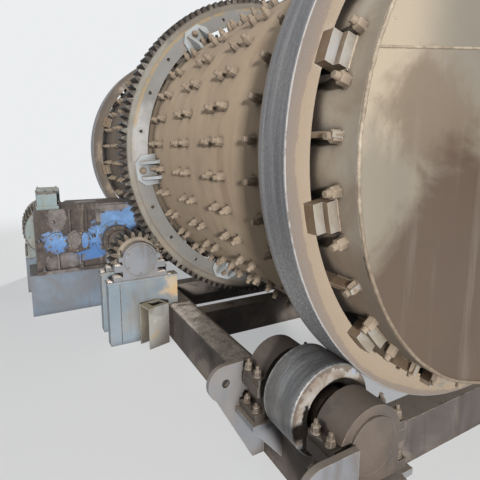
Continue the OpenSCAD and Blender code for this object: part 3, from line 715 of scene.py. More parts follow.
# What makes each finish when it is called with the finish's name
FINISHES = {
    "Dusty_shell": dusty_shell,
    "Stained_head": stained_head,
    "Ring_steel": ring_steel,
    "Block_steel": block_steel,
    "Web_steel": web_steel,
    "Roller_steel": roller_steel,
    "Reducer_paint": reducer_paint,
    "Loose_dirt": loose_dirt,
    "Weld_metal": weld_metal,
    "Gear_steel": partial(gear_steel, centre=DRUM, root_r=GEAR_TIP - 0.045, tip_r=GEAR_TIP,
                          face=(128, 125, 118), soil=(54, 46, 40), soiled=0.92),
    "Pinion_steel": partial(gear_steel, centre=PINION, root_r=0.175, tip_r=0.22,
                            face=(146, 135, 121), soil=(74, 63, 54), soiled=0.8),
    "Dark_iron": partial(machine_paint, paint=(68, 62, 58), dirt=0.8, rough=0.7, dust=(96, 87, 79),
                         worn=(150, 140, 128)),
    "Bearer_paint": partial(machine_paint, paint=(116, 119, 124), dirt=0.5, worn=(170, 167, 160),
                            dust=(128, 118, 106)),
    "Beam_paint": partial(machine_paint, paint=(78, 71, 68), dirt=0.7, rough=0.75,
                          dust=(140, 130, 120), grime=(60, 53, 49)),
    "Pedestal_paint": partial(machine_paint, paint="paint", dirt=0.22, dust=(146, 136, 120), stains=(
        (Vector((PINION.x + 0.26, PEDESTAL_FACE, 0.45)), 0.100, (196, 172, 134)),
        (Vector((PINION.x + 0.30, PEDESTAL_FACE, 0.40)), 0.066, (196, 156, 104)),
    )),
    "Plinth_paint": partial(machine_paint, paint=(106, 119, 134), dirt=0.55, dust=(106, 102, 98),
                            grime=(84, 78, 74), worn=(150, 150, 148)),
    "Housing_paint": partial(machine_paint, paint=(122, 126, 132), dirt=0.26, dust=(138, 126, 110),
                             worn=(164, 152, 132)),
    "Motor_paint": partial(machine_paint, paint=(118, 136, 138), dirt=0.4),
    "Bracket_steel": partial(machine_paint, paint=(154, 160, 163), dirt=0.32, rough=0.6,
                             dust=(148, 142, 131), grime=(98, 90, 82)),
    "Channel_paint": partial(
        machine_paint, paint=(152, 152, 148), dirt=0.42, rough=0.7, dust=(160, 148, 118),
        grime=(98, 90, 80), worn=(196, 192, 178), shade=(0.20, 0.30, 0.9), stains=(
            (CHANNEL_CORNER + Vector((0.06, 0, 0.34)), 0.05, (122, 110, 92)),
            (CHANNEL_CORNER + Vector((0.13, 0, 0.25)), 0.06, (184, 184, 178)),
            (CHANNEL_CORNER + Vector((0.10, 0, 0.12)), 0.05, (176, 150, 100)),
        )),
    "Bolt_dust": partial(machine_paint, paint=(136, 122, 106), dirt=0.4, dust=(144, 129, 110),
                         worn=(164, 151, 133), rough=0.85, shade=(0.06, 0.30, 0.9)),
    "Bolt_dark": partial(machine_paint, paint=(92, 82, 74), dirt=0.6, rough=0.6, metal=0.2),
    "Bolt_oily": partial(machine_paint, paint=(74, 78, 86), dirt=0.9, grime=(50, 43, 38),
                         dust=(96, 84, 72), rough=0.5, metal=0.2, oil=0.4),
}

# The nodes of the frame that each finish goes on
DRESSED = {
    "Dusty_shell": "drum_shell feed_neck discharge_neck",
    "Stained_head": "feed_head discharge_head",
    "Ring_steel": "near_riding_ring far_riding_ring",
    "Block_steel": "near_ring_pads far_ring_pads near_stop_blocks far_stop_blocks",
    "Gear_steel": "girth_gear",
    "Web_steel": "gear_web",
    "Bracket_steel": "gear_brackets",
    "Pinion_steel": "pinion",
    "Dark_iron": "slow_coupling fast_coupling near_bearing_bases near_bearing_caps"
                 " far_bearing_bases far_bearing_caps",
    "Roller_steel": "near_left_roller near_right_roller far_left_roller far_right_roller",
    "Beam_paint": "left_beam right_beam cross_beams anchor_plates",
    "Bearer_paint": "near_left_seat near_right_seat far_left_seat far_right_seat",
    "Pedestal_paint": "near_pinion_pedestal far_pinion_pedestal",
    "Plinth_paint": "reducer_pedestal motor_pedestal",
    "Housing_paint": "pinion_bearing_bases pinion_bearing_caps pinion_end_cover",
    "Channel_paint": "channel_bracket",
    "Reducer_paint": "reducer_lower_case reducer_upper_case reducer_covers",
    "Motor_paint": "inspection_cover motor_body motor_end_shield motor_fan_cowl terminal_box",
}


def finish_named(name):
    """A finish that several pieces share, made once."""
    return bpy.data.materials.get(name) or FINISHES[name](name)


# Trees that make what repeats


class Tree(Nodes):
    """A geometry tree under construction, with named inputs."""

    def __init__(self, name, inputs):
        super().__init__(bpy.data.node_groups.new(name, "GeometryNodeTree"))
        face = self.tree.interface
        face.new_socket("Geometry", in_out="OUTPUT", socket_type="NodeSocketGeometry")
        for label, kind in {"Geometry": "Geometry", **inputs}.items():
            face.new_socket(label, in_out="INPUT", socket_type="NodeSocket" + kind)
        self.inputs = self.tree.nodes.new("NodeGroupInput").outputs
        self.result = self.tree.nodes.new("NodeGroupOutput").inputs[0]

    def given(self, label):
        return Value(self, self.inputs[label])

    def node(self, kind, inputs, **settings):
        whole = kind if kind.startswith(("Function", "Shader")) else "GeometryNode" + kind
        return super().node(whole, inputs, **settings)

    def lifted(self, mesh, height):
        up = self.add("ShaderNodeCombineXYZ", {2: height})
        return self.add("Transform", {"Geometry": mesh, "Translation": up})

    def close(self, mesh):
        real = self.add("RealizeInstances", {"Geometry": mesh})
        painted = self.add("SetMaterial", {"Geometry": real, "Material": self.given("Material")})
        self.put(painted, self.result)
        return self.tree


WASHER_THICK = 0.004


def bolt_tree():
    """A washer, a chamfered hexagon nut and a threaded end on every point, along its own direction."""
    t = Tree("Bolts on seats", {
        "Nut width": "Float", "Nut height": "Float", "Tail width": "Float", "Tail height": "Float",
        "Washer": "Float", "Lean": "Float", "Seed": "Int", "Material": "Material",
    })

    def cone(sides, bottom_r, top_r, depth):
        return t.add("MeshCone", {
            "Vertices": sides, "Radius Top": top_r, "Radius Bottom": bottom_r, "Depth": depth,
        }, "Mesh")

    nut_height = t.given("Nut height")
    nut_r, tail_r, washer_r = [t.given(width) * 0.5 for width in ("Nut width", "Tail width", "Washer")]
    straight = nut_height * 0.84
    bolt = t.add("JoinGeometry", {"Geometry": [
        cone(14, washer_r, washer_r, WASHER_THICK),
        t.lifted(cone(6, nut_r, nut_r, straight), WASHER_THICK),
        t.lifted(cone(6, nut_r, nut_r * 0.84, nut_height * 0.16), straight + WASHER_THICK),
        t.lifted(cone(10, tail_r, tail_r * 0.86, t.given("Tail height")), nut_height + WASHER_THICK),
    ]})
    out = t.add("InputNamedAttribute", {"Name": "out"}, data_type="FLOAT_VECTOR")
    lean = t.add("FunctionNodeRandomValue", {
        "Min": (-1.0, -1.0, -1.0), "Max": (1.0, 1.0, 1.0), "Seed": t.given("Seed"),
    }, data_type="FLOAT_VECTOR")
    leaning = t.add("ShaderNodeVectorMath", {0: lean, "Scale": t.given("Lean")}, operation="SCALE")
    aim = t.vector_math("ADD", out, leaning)
    turned = t.add("FunctionNodeAlignRotationToVector", {"Vector": aim}, axis="Z")
    spin = t.add("FunctionNodeRandomValue", {
        "Min": 0.0, "Max": 1.0472, "Seed": t.given("Seed"),
    }, 1, data_type="FLOAT")
    spun = t.add("FunctionNodeAxisAngleToRotation", {"Axis": (0.0, 0.0, 1.0), "Angle": spin})
    both = t.add("FunctionNodeRotateRotation", {"Rotation": turned, "Rotate By": spun},
                 rotation_space="LOCAL")
    return t.close(t.add("InstanceOnPoints", {
        "Points": t.given("Geometry"), "Instance": bolt, "Rotation": both,
    }))


def bead_tree():
    """A lumpy weld bead along every edge path."""
    t = Tree("Weld beads", {
        "Width": "Float", "Step": "Float", "Unevenness": "Float", "Material": "Material",
    })
    line = t.add("MeshToCurve", {"Mesh": t.given("Geometry")})
    even = t.add("ResampleCurve", {"Curve": line, "Length": t.given("Step")}, mode="LENGTH")
    lumps = t.add("ShaderNodeTexNoise", {"Scale": 55.0, "Detail": 2.0})
    radius = t.given("Width") * 0.5 * (0.55 + lumps * t.given("Unevenness"))
    thick = t.add("SetCurveRadius", {"Curve": even, "Radius": radius})
    profile = t.add("CurvePrimitiveCircle", {"Resolution": 6, "Radius": 1.0}, mode="RADIUS")
    return t.close(t.add("CurveToMesh", {
        "Curve": thick, "Profile Curve": profile, "Scale": radius, "Fill Caps": True,
    }))


TREES = {}


def grown(name, seed_mesh, maker, values, body):
    """Runs a tree on a seed mesh, keeps the result as a plain mesh and joins it to a body."""
    if maker not in TREES:
        TREES[maker] = maker()
    piece = bpy.data.objects.new(name, seed_mesh)
    bpy.context.scene.collection.objects.link(piece)
    modifier = piece.modifiers.new("Made", "NODES")
    modifier.node_group = TREES[maker]
    for item in TREES[maker].interface.items_tree:
        if item.in_out == "INPUT" and item.name in values:
            modifier[item.identifier] = values[item.name]
    evaluated = piece.evaluated_get(bpy.context.evaluated_depsgraph_get())
    made = bpy.data.meshes.new_from_object(evaluated)
    made.name = name
    piece.modifiers.clear()
    piece.data = made
    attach(piece, body)
    return piece


def seat_mesh(name, seats):
    """Points with a direction each, for the bolts that stand on them."""
    mesh = bpy.data.meshes.new(name)
    mesh.from_pydata([place for place, out in seats], [], [])
    out = mesh.attributes.new("out", "FLOAT_VECTOR", "POINT")
    out.data.foreach_set("vector", [part for place, aim in seats for part in aim])
    return mesh


def path_mesh(name, paths):
    """Edges along paths, each a list of points and whether it is closed."""
    mesh = bpy.data.meshes.new(name)
    points = []
    edges = []
    for path, closed in paths:
        first = len(points)
        points += path
        edges += [(first + i, first + i + 1) for i in range(len(path) - 1)]
        if closed:
            edges.append((len(points) - 1, first))
    mesh.from_pydata(points, edges, [])
    return mesh


# Body, slot, finish and seed, then in mm: nut's width and height, threaded end's, washer's width
BOLTS = {
    "lining_bolts": ("drum", "dusty_shell_steel", "Bolt_dust", 3),
    "gear_bolts": ("drum", "web_plate_steel", "Bolt_dust", 5, 46, 26, 28, 12, 60),
    "roller_cap_bolts": ("base", "dark_machine_iron", "Bolt_dark", 7, 38, 28, 20, 20, 44),
    "roller_foot_bolts": ("base", "dark_machine_iron", "Bolt_dark", 8, 36, 24, 20, 12, 46),
    "pinion_cap_bolts": ("base", "housing_paint", "Bolt_dark", 9, 36, 26, 21, 18, 40),
    "pinion_foot_bolts": ("base", "housing_paint", "Bolt_dark", 10, 42, 28, 24, 20, 48),
    "end_cover_bolts": ("base", "housing_paint", "Housing_paint", 11, 17, 7, 8.5, 2, 18),
    "cover_bolts": ("base", "blue_paint", "Bolt_oily", 12, 21, 11, 12, 4, 24),
    "split_bolts": ("base", "blue_paint", "Bolt_oily", 13, 28, 22, 16, 12, 30),
    "clamp_bolts": ("base", "blue_paint", "Bolt_oily", 14, 36, 22, 20, 14, 42),
    "reducer_foot_bolts": ("base", "blue_paint", "Bolt_oily", 15, 36, 26, 22, 18, 38),
    "lid_bolts": ("base", "teal_paint", "Bolt_oily", 16, 19, 10, 10, 3, 22),
    "slow_coupling_bolts": ("pinion_shaft", "dark_machine_iron", "Bolt_dark", 17, 19, 13, 11, 7, 20),
    "fast_coupling_bolts": ("base", "dark_machine_iron", "Bolt_dark", 18, 24, 16, 14, 8, 27),
    "shield_bolts": ("base", "teal_paint", "Motor_paint", 19, 26, 16, 14, 6, 30),
    "motor_foot_bolts": ("base", "teal_paint", "Bolt_dark", 20, 22, 20, 14, 12, 24),
    "box_screws": ("base", "teal_paint", "Motor_paint", 21, 16, 8, 8, 2, 20),
}

# Body, slot and finish, then in mm: width and step, then unevenness
BEADS = {
    "head_welds": ("drum", "dusty_shell_steel", "Weld_metal", 16.8, 8, 0.9),
    "plate_seams": ("drum", "stained_head_plate", "Weld_metal", 11, 7, 0.9),
    "shell_seams": ("drum", "dusty_shell_steel", "Dusty_shell", 10, 10, 0.5),
    "block_welds": ("drum", "block_steel", "Weld_metal", 11, 10, 0.9),
    "bracket_welds": ("drum", "web_plate_steel", "Weld_metal", 9, 10, 0.7),
    "neck_welds": ("drum", "dusty_shell_steel", "Weld_metal", 14, 10, 0.6),
    "cowl_grille": ("base", "teal_paint", "Bolt_dark", 6, 10, 0.0),
}


def bolts(name, seats, sizes=None, lean=0.01):
    """Bolts on seats, with what the table says of them, or with sizes in metres."""
    body, slot, finish, seed, *table = BOLTS[name]
    values = dict(zip(("Nut width", "Nut height", "Tail width", "Tail height", "Washer"),
                      sizes or [size / 1000 for size in table]))
    values.update({"Lean": lean, "Seed": seed, "Material": finish_named(finish)})
    return grown(name, seat_mesh(name, seats), bolt_tree, values, body)


def beads(name, paths, width=None):
    """Beads along paths, with what the table says of them, or with a width in metres."""
    body, slot, finish, wide, step, uneven = BEADS[name]
    values = {"Width": width or wide / 1000, "Step": step / 1000, "Unevenness": uneven,
              "Material": finish_named(finish)}
    return grown(name, path_mesh(name, paths), bead_tree, values, body)


def outward(turn):
    return Vector((math.cos(turn), 0, math.sin(turn)))


def place_round(centre, r, y, turn):
    """A place at a turn about a level axis along +Y."""
    return Vector((centre[0] + r * math.cos(turn), y, centre[2] + r * math.sin(turn)))


def on_drum(turn, r, y):
    return place_round(DRUM, r, y, turn)


def turns(count, first=0.0):
    return [first + math.tau * i / count for i in range(count)]


def ring_path(centre, r, y, count=180):
    """A closed circle about a level axis along +Y."""
    return [place_round(centre, r, y, turn) for turn in turns(count)], True


def circle_seats(centre, r, y, count, way, first=0.0):
    """Bolt places on a circle about a level axis along +Y, pointing in the way given."""
    return [(place_round(centre, r, y, turn), way) for turn in turns(count, first)]


def facing_seats(x, z, front, back):
    """A bolt place on a front face and one on the back face behind it."""
    return [(Vector((x, front, z)), FRONTWARD), (Vector((x, back, z)), BACKWARD)]


def upright_seats(xs, ys, z):
    """Bolt places pointing up, at every x with every y."""
    return [(Vector((x, y, z)), UP) for x in xs for y in ys]


def both_ways(centre, reach):
    return centre - reach, centre + reach


# Pieces

LINING_COLUMNS = (-1.844, -1.325, -0.795, -0.242)
STRIP_COLUMN = -2.357


class MILL_OT_finishes(bpy.types.Operator):
    """Give every node of the frame its finish"""

    bl_idname = "mill.finishes"
    bl_label = "Finishes"

    def execute(self, context):
        for finish, names in DRESSED.items():
            for name in names.split():
                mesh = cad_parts[name].data
                mesh.materials.clear()
                mesh.materials.append(finish_named(finish))
        return {"FINISHED"}


class MILL_OT_lining_bolts(bpy.types.Operator):
    """Add the nuts and threaded ends that hold the lining to the shell"""

    bl_idname = "mill.lining_bolts"
    bl_label = "Lining bolts"

    def execute(self, context):
        sizes = context.scene.mill_fittings
        half = sizes.pair_gap / 2
        columns = [STRIP_COLUMN] + [y + side * half for y in LINING_COLUMNS for side in SIDES]
        seats = [(on_drum(turn, SHELL_R - 0.002, -end * y), outward(turn))
                 for turn in turns(sizes.lining_rows, sizes.lining_turn) for y in columns
                 for end in SIDES]
        bolts("lining_bolts", seats, (sizes.nut_width, sizes.nut_height, sizes.tail_width,
                                      sizes.tail_height, sizes.nut_width * 1.15), lean=0.05)
        return {"FINISHED"}


class MILL_OT_gear_bolts(bpy.types.Operator):
    """Add the bolts that clamp the girth gear's web to its brackets"""

    bl_idname = "mill.gear_bolts"
    bl_label = "Gear bolts"

    def execute(self, context):
        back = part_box("gear_web")[1].y
        seats = []
        for turn in turns(BRACKETS, BRACKET_PHASE):
            place = on_drum(turn, GEAR_BOLT_R, 0)
            seats += facing_seats(place.x, place.z, WEB_FACE - BRACKET_PLATE, back)
        bolts("gear_bolts", seats)
        return {"FINISHED"}


class MILL_OT_bearing_bolts(bpy.types.Operator):
    """Add the cap bolts and foot bolts of the roller bearings and the pinion's bearings"""

    bl_idname = "mill.bearing_bolts"
    bl_label = "Bearing bolts"

    def execute(self, context):
        seat_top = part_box("near_bearing_bases")[0].z
        caps = []
        feet = []
        for side in SIDES:
            for end in SIDES:
                for face in SIDES:
                    x = side * ROLLER.x
                    y = end * RING_Y + face * HOUSING_MIDDLE
                    caps += upright_seats(both_ways(x, 0.175), both_ways(y, 0.042), ROLLER.z + 0.038)
                    feet += upright_seats(both_ways(x, 0.182), both_ways(y, 0.045), seat_top + 0.040)
        bolts("roller_cap_bolts", caps)
        bolts("roller_foot_bolts", feet)
        caps = []
        feet = []
        for end in SIDES:
            y = end * PINION_HOUSING_MIDDLE
            caps += upright_seats(both_ways(PINION.x, 0.160), (y,), PINION.z + 0.038)
            feet += upright_seats(both_ways(PINION.x, 0.190), (y,), PINION.z - 0.030)
        bolts("pinion_cap_bolts", caps)
        bolts("pinion_foot_bolts", feet, lean=0.03)
        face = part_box("pinion_end_cover")[0].y + 0.001
        bolts("end_cover_bolts", circle_seats(PINION, COVER_R - 0.016, face, 6, FRONTWARD, 0.5))
        return {"FINISHED"}


class MILL_OT_reducer_bolts(bpy.types.Operator):
    """Add the bolts of the reducer's covers, split flange, blocks and feet"""

    bl_idname = "mill.reducer_bolts"
    bl_label = "Reducer bolts"

    def execute(self, context):
        low, high = CASE_LOW, CASE_HIGH
        cover_front, cover_back = [corner.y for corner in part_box("reducer_covers")]
        rims = []
        for x, r, count in ((PINION.x, 0.164, 10), (MIDDLE_SHAFT_X, 0.092, 6), (FAST_SHAFT_X, 0.073, 6)):
            centre = (x, 0, PINION.z)
            rims += circle_seats(centre, r, cover_front, count, FRONTWARD, 0.3)
            rims += circle_seats(centre, r, cover_back, count, BACKWARD, 0.3)
        bolts("cover_bolts", rims)
        flange_middle = (low.y + high.y) / 2
        reach = (high.y - low.y) / 2 - 0.018
        bolts("split_bolts", upright_seats(
            (low.x + 0.030, PINION.x - 0.217, high.x - 0.028),
            both_ways(flange_middle, reach - 0.008), PINION.z + 0.026))
        clamps = []
        for x, up in ((PINION.x - 0.168, 0.168), (PINION.x - 0.168, 0.300), (PINION.x + 0.215, 0.168),
                      (PINION.x + 0.215, 0.300), (FAST_SHAFT_X - 0.030, 0.212)):
            inset = 0.040 if x < FAST_SHAFT_X else 0.010
            clamps += facing_seats(x, PINION.z + up, low.y + inset, high.y - inset)
        bolts("clamp_bolts", clamps)
        bolts("reducer_foot_bolts", upright_seats(
            (low.x + 0.06, MIDDLE_SHAFT_X + 0.02, PINION.x - 0.07, high.x - 0.06),
            both_ways(flange_middle, reach), low.z + 0.036))
        low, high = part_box("inspection_cover")
        centre = (low + high) / 2
        lid = upright_seats((low.x + 0.018, centre.x, high.x - 0.018),
                            (low.y + 0.018, centre.y, high.y - 0.018), high.z)
        bolts("lid_bolts", lid[:4] + lid[5:])
        return {"FINISHED"}


class MILL_OT_coupling_bolts(bpy.types.Operator):
    """Add the bolts of the slow and the fast coupling"""

    bl_idname = "mill.coupling_bolts"
    bl_label = "Coupling bolts"

    def execute(self, context):
        bolts("slow_coupling_bolts",
              circle_seats(PINION, 0.133, SLOW_COUPLING_Y, 10, FRONTWARD)
              + circle_seats(PINION, 0.130, SLOW_COUPLING_Y + 0.094, 10, BACKWARD))
        centre = middle("fast_coupling")
        r = size_of("fast_coupling").x / 2 - 0.024
        bolts("fast_coupling_bolts",
              circle_seats(centre, r, centre.y - 0.063, 8, FRONTWARD)
              + circle_seats(centre, r, centre.y + 0.063, 8, BACKWARD))
        return {"FINISHED"}


class MILL_OT_motor_fittings(bpy.types.Operator):
    """Add the motor's shield bolts, foot bolts, box screws and the grille of its fan cowl"""

    bl_idname = "mill.motor_fittings"
    bl_label = "Motor fittings"

    def execute(self, context):
        centre = Vector((FAST_SHAFT_X, 0, PINION.z))
        bolts("shield_bolts", circle_seats(centre, 0.245, MOTOR_LOW.y - 0.022, 8, FRONTWARD, 0.2))
        bolts("motor_foot_bolts", upright_seats(
            both_ways(centre.x, 0.277), (MOTOR_LOW.y + 0.14, MOTOR_HIGH.y - 0.14), PINION.z - 0.285))
        low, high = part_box("terminal_box")
        bolts("box_screws", upright_seats(
            (low.x + 0.018, high.x - 0.018), (low.y + 0.018, high.y - 0.018), high.z))
        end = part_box("motor_fan_cowl")[1].y
        rings = [ring_path(centre, 0.03 + 0.018 * i, end + 0.001, 60) for i in range(11)]
        bars = [([centre + Vector((r * math.cos(turn), end + 0.003, r * math.sin(turn)))
                  for r in (0.03, 0.21)], False) for turn in turns(8)]
        beads("cowl_grille", rings + bars)
        return {"FINISHED"}


def block_paths(turn, end):
    """Weld paths round the feet of the stop blocks at a turn, on both faces of an end's ring."""
    half = math.asin(BLOCK_LENGTH / 2 / SHELL_R)
    paths = []
    for face in SIDES:
        start = end * (RING_Y + face * RING_HALF)
        bar = start + end * face * BLOCK_BAR
        reach = bar + end * face * BLOCK_STEP
        for side in SIDES:
            paths.append(([on_drum(turn + side * half, SHELL_R + 0.001, y) for y in (start, bar, reach)],
                          False))
        across = [on_drum(turn + half * i / 4, SHELL_R + 0.001, reach) for i in range(-4, 5)]
        paths.append((across, False))
    return paths


def pad_paths(turn, end):
    """Weld paths along both sides of the pad bars at a turn, on both faces of an end's ring."""
    half = math.asin(PAD_THICK / 2 / SHELL_R)
    paths = []
    for face in SIDES:
        start = end * (RING_Y + face * RING_HALF)
        for side in SIDES:
            paths.append(([on_drum(turn + side * half, SHELL_R + 0.001, y)
                           for y in (start, start + end * face * PAD_OUT)], False))
    return paths


class MILL_OT_welds(bpy.types.Operator):
    """Lay the weld beads of the drum"""

    bl_idname = "mill.welds"
    bl_label = "Welds"

    def execute(self, context):
        heads = [ring_path(DRUM, SHELL_R - 0.009, side * (SHELL_HALF + 0.001), 720) for side in SIDES]
        for path, _ in heads:
            for place in path:
                out = place - DRUM
                out.y = 0
                place += 0.004 * noise.noise(place * 7) * out.normalized()
        beads("head_welds", heads, context.scene.mill_fittings.weld_width * 1.4)
        plate = SHELL_HALF - 0.002
        slope = math.radians(5.8)
        way = Vector((math.cos(slope), 0, math.sin(slope)))
        seams = []
        for side in SIDES:
            start = on_drum(math.radians(161), SHELL_R - 0.012, side * plate)
            length = -2 * (start - DRUM).dot(way)
            seams.append(([start + way * length * i / 200 for i in range(201)], False))
        beads("plate_seams", seams)
        beads("shell_seams", [ring_path(DRUM, SHELL_R - 0.003, y, 480) for y in (-0.94, 0.94)])
        paths = []
        for turn in turns(BLOCKS, BLOCK_PHASE):
            for end in SIDES:
                paths += block_paths(turn, end) + pad_paths(turn + math.pi / BLOCKS, end)
        beads("block_welds", paths)
        front = WEB_FACE - BRACKET_PLATE
        paths = []
        for turn in turns(BRACKETS, BRACKET_PHASE):
            over = outward(turn + math.pi / 2)
            for side in SIDES:
                for edge in SIDES:
                    shift = over * (side * RIB_GAP / 2 + edge * RIB_HALF)
                    paths.append(([on_drum(turn, r, y) + shift for r, y in (
                        (GEAR_BOLT_R + 0.016, front), (SHELL_R + 0.006, front),
                        (SHELL_R + 0.002, front - 0.122))], False))
        beads("bracket_welds", paths)
        beads("neck_welds", [ring_path(DRUM, r, math.copysign(plate, middle(name).y), 160)
                             for name, r in NECK_R.items()])
        return {"FINISHED"}


def heap(name, x_span, y_span, base, height, cell=0.02, seed=0,
         body="base"):
    """A low ragged heap of settled dirt on a level top, thin at its borders."""
    columns = max(4, round((x_span[1] - x_span[0]) / cell))
    rows = max(4, round((y_span[1] - y_span[0]) / cell))
    made = bmesh.new()
    grid = []
    for j in range(rows + 1):
        line = []
        for i in range(columns + 1):
            u, v = i / columns, j / rows
            x = x_span[0] + u * (x_span[1] - x_span[0])
            y = y_span[0] + v * (y_span[1] - y_span[0])
            border = min(1.0, 5 * min(u, 1 - u), 5 * min(v, 1 - v) * rows / columns)
            rough = noise.fractal(Vector((x * 9, y * 9, seed)), 0.8, 2.1, 5)
            fine = noise.noise(Vector((x * 55, y * 55, seed + 3)))
            lift = height * border * max(0.0, 0.55 + 0.55 * rough + 0.18 * fine)
            line.append(made.verts.new((x, y, base + (lift if border > 0 else -0.001))))
        grid.append(line)
    for near, far in zip(grid, grid[1:]):
        for i in range(columns):
            made.faces.new((near[i], near[i + 1], far[i + 1], far[i]))
    rim = [grid[0][i] for i in range(columns)]
    rim += [grid[j][columns] for j in range(rows)]
    rim += [grid[rows][i] for i in range(columns, 0, -1)]
    rim += [grid[j][0] for j in range(rows, 0, -1)]
    made.faces.new(list(reversed(rim)))
    mesh = bpy.data.meshes.new(name)
    made.to_mesh(mesh)
    made.free()
    mesh.shade_smooth()
    mesh.materials.append(finish_named("Loose_dirt"))
    piece = bpy.data.objects.new(name, mesh)
    bpy.context.scene.collection.objects.link(piece)
    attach(piece, body)
    return piece


class MILL_OT_settled_dirt(bpy.types.Operator):
    """Lay the dirt that has settled on the beams, seats and bearings"""

    bl_idname = "mill.settled_dirt"
    bl_label = "Settled dirt"

    def execute(self, context):
        low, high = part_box("left_beam")
        gaps = ((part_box("near_left_seat")[1].y, PEDESTAL_FACE),
                (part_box("far_pinion_pedestal")[1].y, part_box("far_left_seat")[0].y))
        for index, (start, end) in enumerate(gaps):
            for side, name in ((-1, "left"), (1, "right")):
                inner, outer = sorted((side * abs(low.x), side * abs(high.x)))
                heap("%s_beam_dirt_%d" % (name, index + 1), (inner + 0.004, outer - 0.004),
                     (start + 0.004, end - 0.004), BEAM_TOP, 0.020, seed=index + 2 * side)
        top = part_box("near_pinion_pedestal")[1].z
        # Where dirt lies about a pinion bearing: from and to across, base, height left and right
        places = {
            "ear": (0.150, 0.210, PINION.z - 0.030, 0.034, 0.012),
            "foot": (0.150, 0.223, top + 0.034, 0.034, 0.018),
            "top": (0.228, 0.272, top, 0.036, 0.016),
        }
        for end, near in ((-1, "near"), (1, "far")):
            middle_y = end * PINION_HOUSING_MIDDLE
            for side, left in ((-1, "left"), (1, "right")):
                for name, (inner, outer, base, *heights) in places.items():
                    heap("pinion_%s_dirt_%s_%s" % (name, near, left),
                         sorted((PINION.x + side * inner, PINION.x + side * outer)),
                         both_ways(middle_y, 0.038), base, heights[side > 0],
                         0.006, 11 + end + side)
        return {"FINISHED"}


STUDIO_PALE = tone(236, 238, 240)
WHITE = (1.0, 1.0, 1.0)
FLOOR_REACH = 40

# Place, what it points at, power in watts, size and colour of each lamp
LAMPS = {
    "key": ((-5.9, -15.0, 3.1), (-0.9, -0.8, 1.4), 3150, 1.2, (1.0, 0.98, 0.96)),
    "fill": ((-7.5, 2.5, 3.2), (-0.8, 0.4, 1.0), 9, 4.0, (0.92, 0.96, 1.0)),
    "right": ((6.5, -6.0, 4.6), (0.2, -1.0, 1.4), 90, 3.0, WHITE),
    "top": ((-3.6, -1.8, 6.4), (-1.2, -0.8, 0.3), 60, 4.0, WHITE),
    "back": ((5.0, 9.5, 4.2), (0.0, 0.8, 1.2), 900, 3.0, WHITE),
}


def pale_floor():
    """A pale floor that takes shadows near the object and melts into the background far from it."""
    f = Finish("Pale_floor")
    seen = f.seen()
    f.close(f.blend(seen, (112, 108, 104), (238, 238, 236)), 0.9)
    glow = f.add("ShaderNodeEmission", {"Color": STUDIO_PALE, "Strength": 1.0})
    share = f.either(f.step(f.length(f.x, f.y), 3.0, 9.0), 0.45) * seen
    mixed = f.add("ShaderNodeMixShader", {0: share, 1: Value(f, f.shader.outputs[0]), 2: glow})
    f.put(mixed, f.tree.nodes["Material Output"].inputs[0])
    return f.material


def studio_world(light):
    """A dim sky that lights the object, and a pale one where the camera looks at it."""
    world = bpy.data.worlds.new("Studio")
    world.use_nodes = True
    w = Nodes(world.node_tree)
    sky = w.tree.nodes["Background"]
    w.put((0.93, 0.96, 1.0, 1.0), sky.inputs["Color"])
    w.put(0.10 * light, sky.inputs["Strength"])
    shown = w.add("ShaderNodeBackground", {"Color": STUDIO_PALE})
    mix = w.add("ShaderNodeMixShader", {0: w.seen(), 1: Value(w, sky.outputs[0]), 2: shown})
    w.put(mix, w.tree.nodes["World Output"].inputs[0])
    return world


def aimed(name, data, place, way):
    """A lamp or a camera at a place, looking in the way given."""
    holder = bpy.data.objects.new(name, data)
    bpy.context.scene.collection.objects.link(holder)
    holder.location = place
    holder.rotation_euler = Vector(way).to_track_quat("-Z", "Y").to_euler()
    return holder


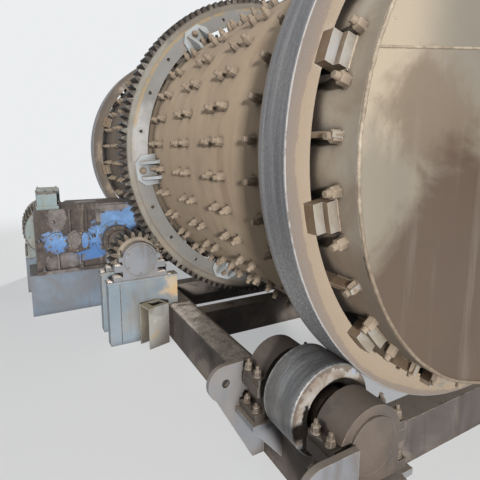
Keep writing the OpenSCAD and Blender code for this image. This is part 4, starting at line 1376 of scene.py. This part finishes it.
class MILL_OT_stage(bpy.types.Operator):
    """Set up the pale floor, the soft light and the camera"""

    bl_idname = "mill.stage"
    bl_label = "Stage"

    def execute(self, context):
        scene = context.scene
        stage = scene.mill_stage
        scene.view_settings.view_transform = "Standard"
        scene.world = studio_world(stage.light)
        mesh = bpy.data.meshes.new("floor")
        mesh.from_pydata([(x * FLOOR_REACH, y * FLOOR_REACH, 0)
                          for x, y in ((-1, -1), (1, -1), (1, 1), (-1, 1))], [], [(0, 1, 2, 3)])
        mesh.materials.append(pale_floor())
        floor = bpy.data.objects.new("floor", mesh)
        scene.collection.objects.link(floor)
        for name, (place, target, power, size, colour) in LAMPS.items():
            lamp = bpy.data.lights.new(name, "AREA")
            lamp.energy = power * stage.light
            lamp.size = size
            lamp.color = colour
            aimed(name, lamp, place, Vector(target) - Vector(place))
        camera = bpy.data.cameras.new("camera")
        camera.sensor_width = 36
        camera.lens = stage.lens
        camera.shift_y = -PHOTO_RISE / PHOTO_SIZE
        scene.camera = aimed("camera", camera, stage.eye, stage.look)
        return {"FINISHED"}


OPERATORS = (
    MILL_OT_stage, MILL_OT_finishes, MILL_OT_lining_bolts, MILL_OT_gear_bolts, MILL_OT_welds,
    MILL_OT_bearing_bolts, MILL_OT_reducer_bolts, MILL_OT_coupling_bolts, MILL_OT_motor_fittings,
    MILL_OT_settled_dirt,
)


class MILL_PT_panel(bpy.types.Panel):
    """The mill's pieces and settings"""

    bl_idname = "MILL_PT_panel"
    bl_label = "Ball mill"
    bl_space_type = "VIEW_3D"
    bl_region_type = "UI"
    bl_category = "Mill"

    def draw(self, context):
        for operator in OPERATORS:
            self.layout.operator(operator.bl_idname)
        for group in GROUPS:
            settings = getattr(context.scene, group)
            box = self.layout.box()
            for name in settings.__annotations__:
                box.prop(settings, name)


GROUPS = {"mill_fittings": MillFittings, "mill_colours": MillColours, "mill_stage": MillStage}


def register():
    for group in GROUPS.values():
        bpy.utils.register_class(group)
    for name, group in GROUPS.items():
        setattr(bpy.types.Scene, name, bpy.props.PointerProperty(type=group))
    for kind in (*OPERATORS, MILL_PT_panel):
        bpy.utils.register_class(kind)


def unregister():
    for kind in (MILL_PT_panel, *reversed(OPERATORS)):
        bpy.utils.unregister_class(kind)
    for name in GROUPS:
        delattr(bpy.types.Scene, name)
    for group in reversed(list(GROUPS.values())):
        bpy.utils.unregister_class(group)


def main():
    register()
    bpy.ops.mill.stage()
    bpy.ops.mill.finishes()
    bpy.ops.mill.lining_bolts()
    bpy.ops.mill.gear_bolts()
    bpy.ops.mill.welds()
    bpy.ops.mill.bearing_bolts()
    bpy.ops.mill.reducer_bolts()
    bpy.ops.mill.coupling_bolts()
    bpy.ops.mill.motor_fittings()
    bpy.ops.mill.settled_dirt()


if __name__ == "__main__":
    main()
